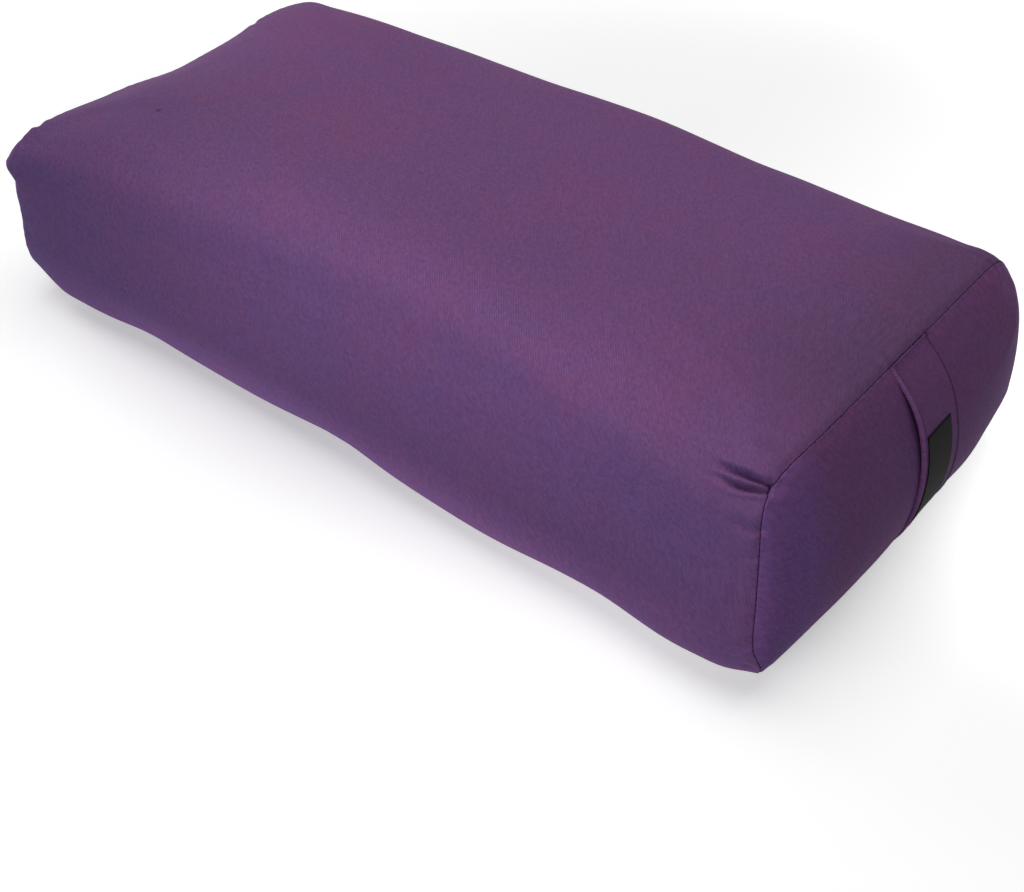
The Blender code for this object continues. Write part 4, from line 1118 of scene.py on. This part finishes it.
def make_label(finish, thread):
    """A blank label sewn on the strap at its top and bottom."""
    middle_y, middle_z = LABEL_MIDDLE
    edge = np.array([0, 0.0001, 0.0003, 0.0008, 0.002, 0.004])
    half = np.concatenate([edge, np.linspace(0.007, LABEL_WIDTH - 0.007, 9), LABEL_WIDTH - edge[::-1]])
    across = middle_y - LABEL_WIDTH / 2 + half
    top, bottom = ((middle_z + end * LABEL_LENGTH / 2) / END_HALF_HEIGHT for end in (1, -1))

    def lifted(y, share):
        return strap_surface(y, share, LABEL_LIFT)

    label, face, out = band("label_cloth", lifted, across, np.linspace(top, bottom, 44), LABEL_THICKNESS, finish)
    dress(label, "handle", "black_label_weave", "woven_label")
    pitch, length, radius = LABEL_STITCH
    for end, row in (("top", 1), ("bottom", -2)):
        places, ways, _ = resample(face[row, 2:-2], pitch)
        outs = np.repeat(out[row, 8][None], len(places), axis=0)
        stitch_row("label_stitches_" + end, places, ways, outs, length, radius, thread,
                   "handle", "black_label_weave")


# Zip


def block_piece(name, finish, rounding, node):
    """A solid's box with rounded edges."""
    low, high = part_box(node)
    shape = bmesh.new()
    place = Matrix.Translation((low + high) / 2) @ Matrix.Diagonal((*(high - low), 1.0))
    bmesh.ops.create_cube(shape, size=1.0, matrix=place)
    bmesh.ops.bevel(shape, geom=shape.edges[:], offset=rounding, segments=3, profile=0.5, affect="EDGES")
    mesh = bpy.data.meshes.new(name)
    shape.to_mesh(mesh)
    shape.free()
    layer = mesh.uv_layers.new(name="cloth")
    for loop in mesh.loops:
        point = mesh.vertices[loop.vertex_index].co
        layer.data[loop.index].uv = (point.x, point.z)
    mesh.shade_smooth()
    mesh.materials.append(finish)
    return link(name, mesh)


def make_coil(name, side, finish):
    """One row of nylon coil: a loop for each tooth, from the tape to the middle and back."""
    low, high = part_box("zip_coil_" + name)
    turns = np.linspace(-0.62 * np.pi, 0.62 * np.pi, 9)
    outer = max(abs(low.z - ZIP_HEIGHT), abs(high.z - ZIP_HEIGHT))
    up = outer - 0.0003 - (outer + 0.0001) * np.cos(turns / 1.3)
    out = (low.y + high.y) / 2 + ((high.y - low.y) / 2 - 0.0002) * np.sin(turns / 1.24)
    line = np.stack([0.25 * COIL_PITCH * np.sin(turns), out, ZIP_HEIGHT + side * up], -1)
    flank = unit(np.cross(unit(np.gradient(line, axis=0)), ALONG))
    head = 1 + 0.35 * np.exp(-((turns / 0.5) ** 2))
    teeth = np.arange(int((high.x - low.x) / COIL_PITCH))
    starts = low.x + COIL_PITCH * (0.5 + teeth + (0.5 if side > 0 else 0.0))
    points = rings(line, flank, ALONG, COIL_WIRE * head, 6) + starts[:, None, None, None] * ALONG
    dress(tubes_piece("coil_" + name, points, finish), "bolster", "zip_coil_nylon", "zip_coil_" + name)


def make_zip(tape_finish, coil_finish, metal_finish):
    for name, side in (("upper", 1), ("lower", -1)):
        tape = block_piece("tape_" + name, tape_finish, 0.00025, "zip_tape_" + name)
        dress(tape, "bolster", "zip_tape_weave", "zip_tape_" + name)
        make_coil(name, side, coil_finish)
    for node in ("zip_top_stop_upper", "zip_top_stop_lower", "zip_bottom_stop", "zip_slider", "zip_pull"):
        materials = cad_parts[node].data.materials
        materials.clear()
        materials.append(metal_finish)


# Inner cushion


def filled_form(name, inset, half_length, bulge, finish):
    """A closed soft form inside the cover: a sleeve with a crowned end on each side."""
    turns = even_turns(CUSHION_COLUMNS)[None, :]
    x = np.linspace(-half_length, half_length, 61)[:, None]
    y, z = (part * CUSHION_CAP for part in section(half_length, turns, inset, ZIP_ROOM))
    rise = bulge * (1 - CUSHION_CAP**4.0) * (1 - np.minimum(np.abs(z) / END_HALF_HEIGHT, 1.0) ** 2)
    caps = [settle(side * (half_length + rise), y, z) for side in (-1, 1)]
    points = np.concatenate([caps[0][::-1], settle(x, *section(x, turns, inset, ZIP_ROOM)), caps[1]])
    uneven = CUSHION_UNEVEN * dapple(points)
    points = swell(points + outward_normals(points) * uneven[..., None], CUSHION_DENTS)
    v = around(points[len(points) // 2])
    flat = np.stack(np.broadcast_arrays(points[..., 0].mean(axis=1)[:, None], v[None, :]), axis=-1)
    round_length = v[-1] * CUSHION_COLUMNS / (CUSHION_COLUMNS - 1)
    return grid_piece(name, points, flat, finish, round_length=round_length)


def make_cushion(cotton, batting, foam):
    liner = filled_form("liner_case", 0.0042, 0.280, 0.024, cotton)
    dress(liner, "bolster", "liner_cotton", "liner_wrap", "liner_end_handle", "liner_end_plain")
    wadding = filled_form("batting_wadding", 0.0056, 0.278, 0.0225, batting)
    dress(wadding, "bolster", "cotton_batting", "batting_wrap", "batting_end_handle", "batting_end_plain")
    block = block_piece("foam_block", foam, 0.006, "foam_core")
    dress(block, "bolster", "foam", "foam_core")


# Stage


def seen(s):
    """1 where a surface is seen, and 0 where it only lights other surfaces."""
    direct, glossy, through = s.node("LightPath", {}, ("Is Camera Ray", "Is Glossy Ray", "Is Transmission Ray"))
    return s.math("MAXIMUM", s.math("MAXIMUM", direct, glossy), through)


def make_stage():
    """A pale floor that glows where it is seen, in a white room, with painted light and shade in its glow: lighter
    towards the handle end, lighter behind that end and a little darker in front of it, and whiter further away.
    """
    material, s, shader = new_finish("white_floor")
    x, y, _ = s.split(s.place())
    away = s.node("VectorMath", {0: s.place()}, "Value", operation="LENGTH")
    # Painted light on the floor behind the handle end and painted shade in front of it
    beside = s.ramp(x, 0.21, 0.38) * (s.ramp(y, -0.08, 0.14) * 0.53 - 0.12)
    glow = s.ramp(x, -0.08, 0.25) * 0.17 + 0.39 + beside + s.ramp(away, 0.48, 1.15) * 0.60
    s.fill(shader, {
        "Base Color": (FLOOR_SHADE,) * 3, "Roughness": 0.9, "Specular IOR Level": 0.0,
        "Emission Color": WHITE, "Emission Strength": seen(s) * glow,
    })
    corners = FLOOR_HALF * np.array([(-1, -1, 0), (1, -1, 0), (1, 1, 0), (-1, 1, 0)])
    floor = mesh_piece("floor", corners, np.array([(0, 1, 2, 3)]), material)
    floor.location.z = -FLOOR_DROP
    world = bpy.context.scene.world = bpy.data.worlds.new("studio")
    world.use_nodes = True
    s = Sheet(world.node_tree)
    s.fill(world.node_tree.nodes["Background"].inputs, {"Color": WHITE, "Strength": seen(s)})


def make_camera():
    camera = bpy.data.cameras.new("camera")
    camera.lens, camera.sensor_width, camera.sensor_fit = CAMERA_LENS, 36.0, "HORIZONTAL"
    camera.clip_start = 0.05
    turn = Matrix((CAMERA_RIGHT, CAMERA_UP, CAMERA_RIGHT.cross(CAMERA_UP))).transposed().to_4x4()
    bpy.context.scene.camera = link("camera", camera, Matrix.Translation(CAMERA_PLACE) @ turn)


def make_lights():
    for name, (place, target, power, width, height) in LAMPS.items():
        lamp = bpy.data.lights.new(name, "AREA")
        lamp.shape, lamp.size, lamp.size_y, lamp.energy = "RECTANGLE", width, height, power
        turn = (Vector(place) - Vector(target)).to_track_quat("Z", "Y").to_matrix().to_4x4()
        link(name, lamp, Matrix.Translation(place) @ turn)
    bpy.context.scene.view_settings.view_transform = "Standard"


def build():
    make_camera()
    make_stage()
    make_lights()
    wrap_cloth = cloth_finish("purple_twill", WRAP_LIT_COLOURS, angle=51, painted_light=True, **TWILL_FINISH)
    panel_cloth = cloth_finish("purple_twill_panel", TWILL_COLOURS, angle=-55, near=True, **TWILL_FINISH)
    plain_ripples = wrap_ripples = handle_ripples = None
    plain_ripples, wrap_ripples, handle_ripples = stuff_cover()
    wrap, cloth, apart, places = make_wrap(wrap_cloth, wrap_ripples)
    dress(wrap, "bolster", "purple_twill", "cover_wrap")
    for end, side, ripples in (("handle", 1, handle_ripples), ("plain", -1, plain_ripples)):
        panel = make_end_panel("cover_end_cloth_" + end, side, panel_cloth, ripples)
        dress(panel, "bolster", "purple_twill", "cover_end_" + end)
    thread = plain_finish("purple_thread", (0.030, 0.012, 0.038), 0.8, grain=2500.0, gloss=0.05)
    make_topstitch(cloth, apart, places, thread)
    for end, side in (("handle", 1), ("plain", -1)):
        make_seam_stitches(end, side, thread)
        make_overlock(end, side, thread)
    purple, warm, cool = TWILL_COLOURS
    strap_colours = ([STRAP_SHADE * c for c in purple], warm, cool)
    make_strap(cloth_finish("purple_twill_strap", strap_colours, angle=45, edges=True, **TWILL_FINISH))
    black = [(0.0075, 0.0072, 0.0080)] * 3
    label_weave = cloth_finish("black_label_weave", black, 0.0007, 90, 0.00005, 0.7, 0.0, gloss=0.04)
    make_label(label_weave, plain_finish("black_thread", (0.014, 0.013, 0.015), 0.7, grain=2500.0, gloss=0.05))
    tape_colours = (0.060, 0.030, 0.072), (0.065, 0.03, 0.07), (0.055, 0.03, 0.075)
    tape = cloth_finish("zip_tape_weave", tape_colours, 0.0009, 30, 0.0001)
    nylon = plain_finish("zip_coil_nylon", (0.075, 0.038, 0.090), 0.4)
    make_zip(tape, nylon, plain_finish("zip_metal", (0.55, 0.54, 0.53), 0.32, 1.0))
    cotton_colours = (0.72, 0.69, 0.62), (0.74, 0.69, 0.60), (0.7, 0.69, 0.64)
    cotton = cloth_finish("liner_cotton", cotton_colours, 0.0006, 0, 0.00006)
    batting = plain_finish("cotton_batting", (0.80, 0.78, 0.72), 0.95, grain=300.0, depth=0.0006)
    foam = plain_finish("foam", (0.78, 0.72, 0.50), 0.9, grain=900.0, depth=0.0004)
    make_cushion(cotton, batting, foam)


build()
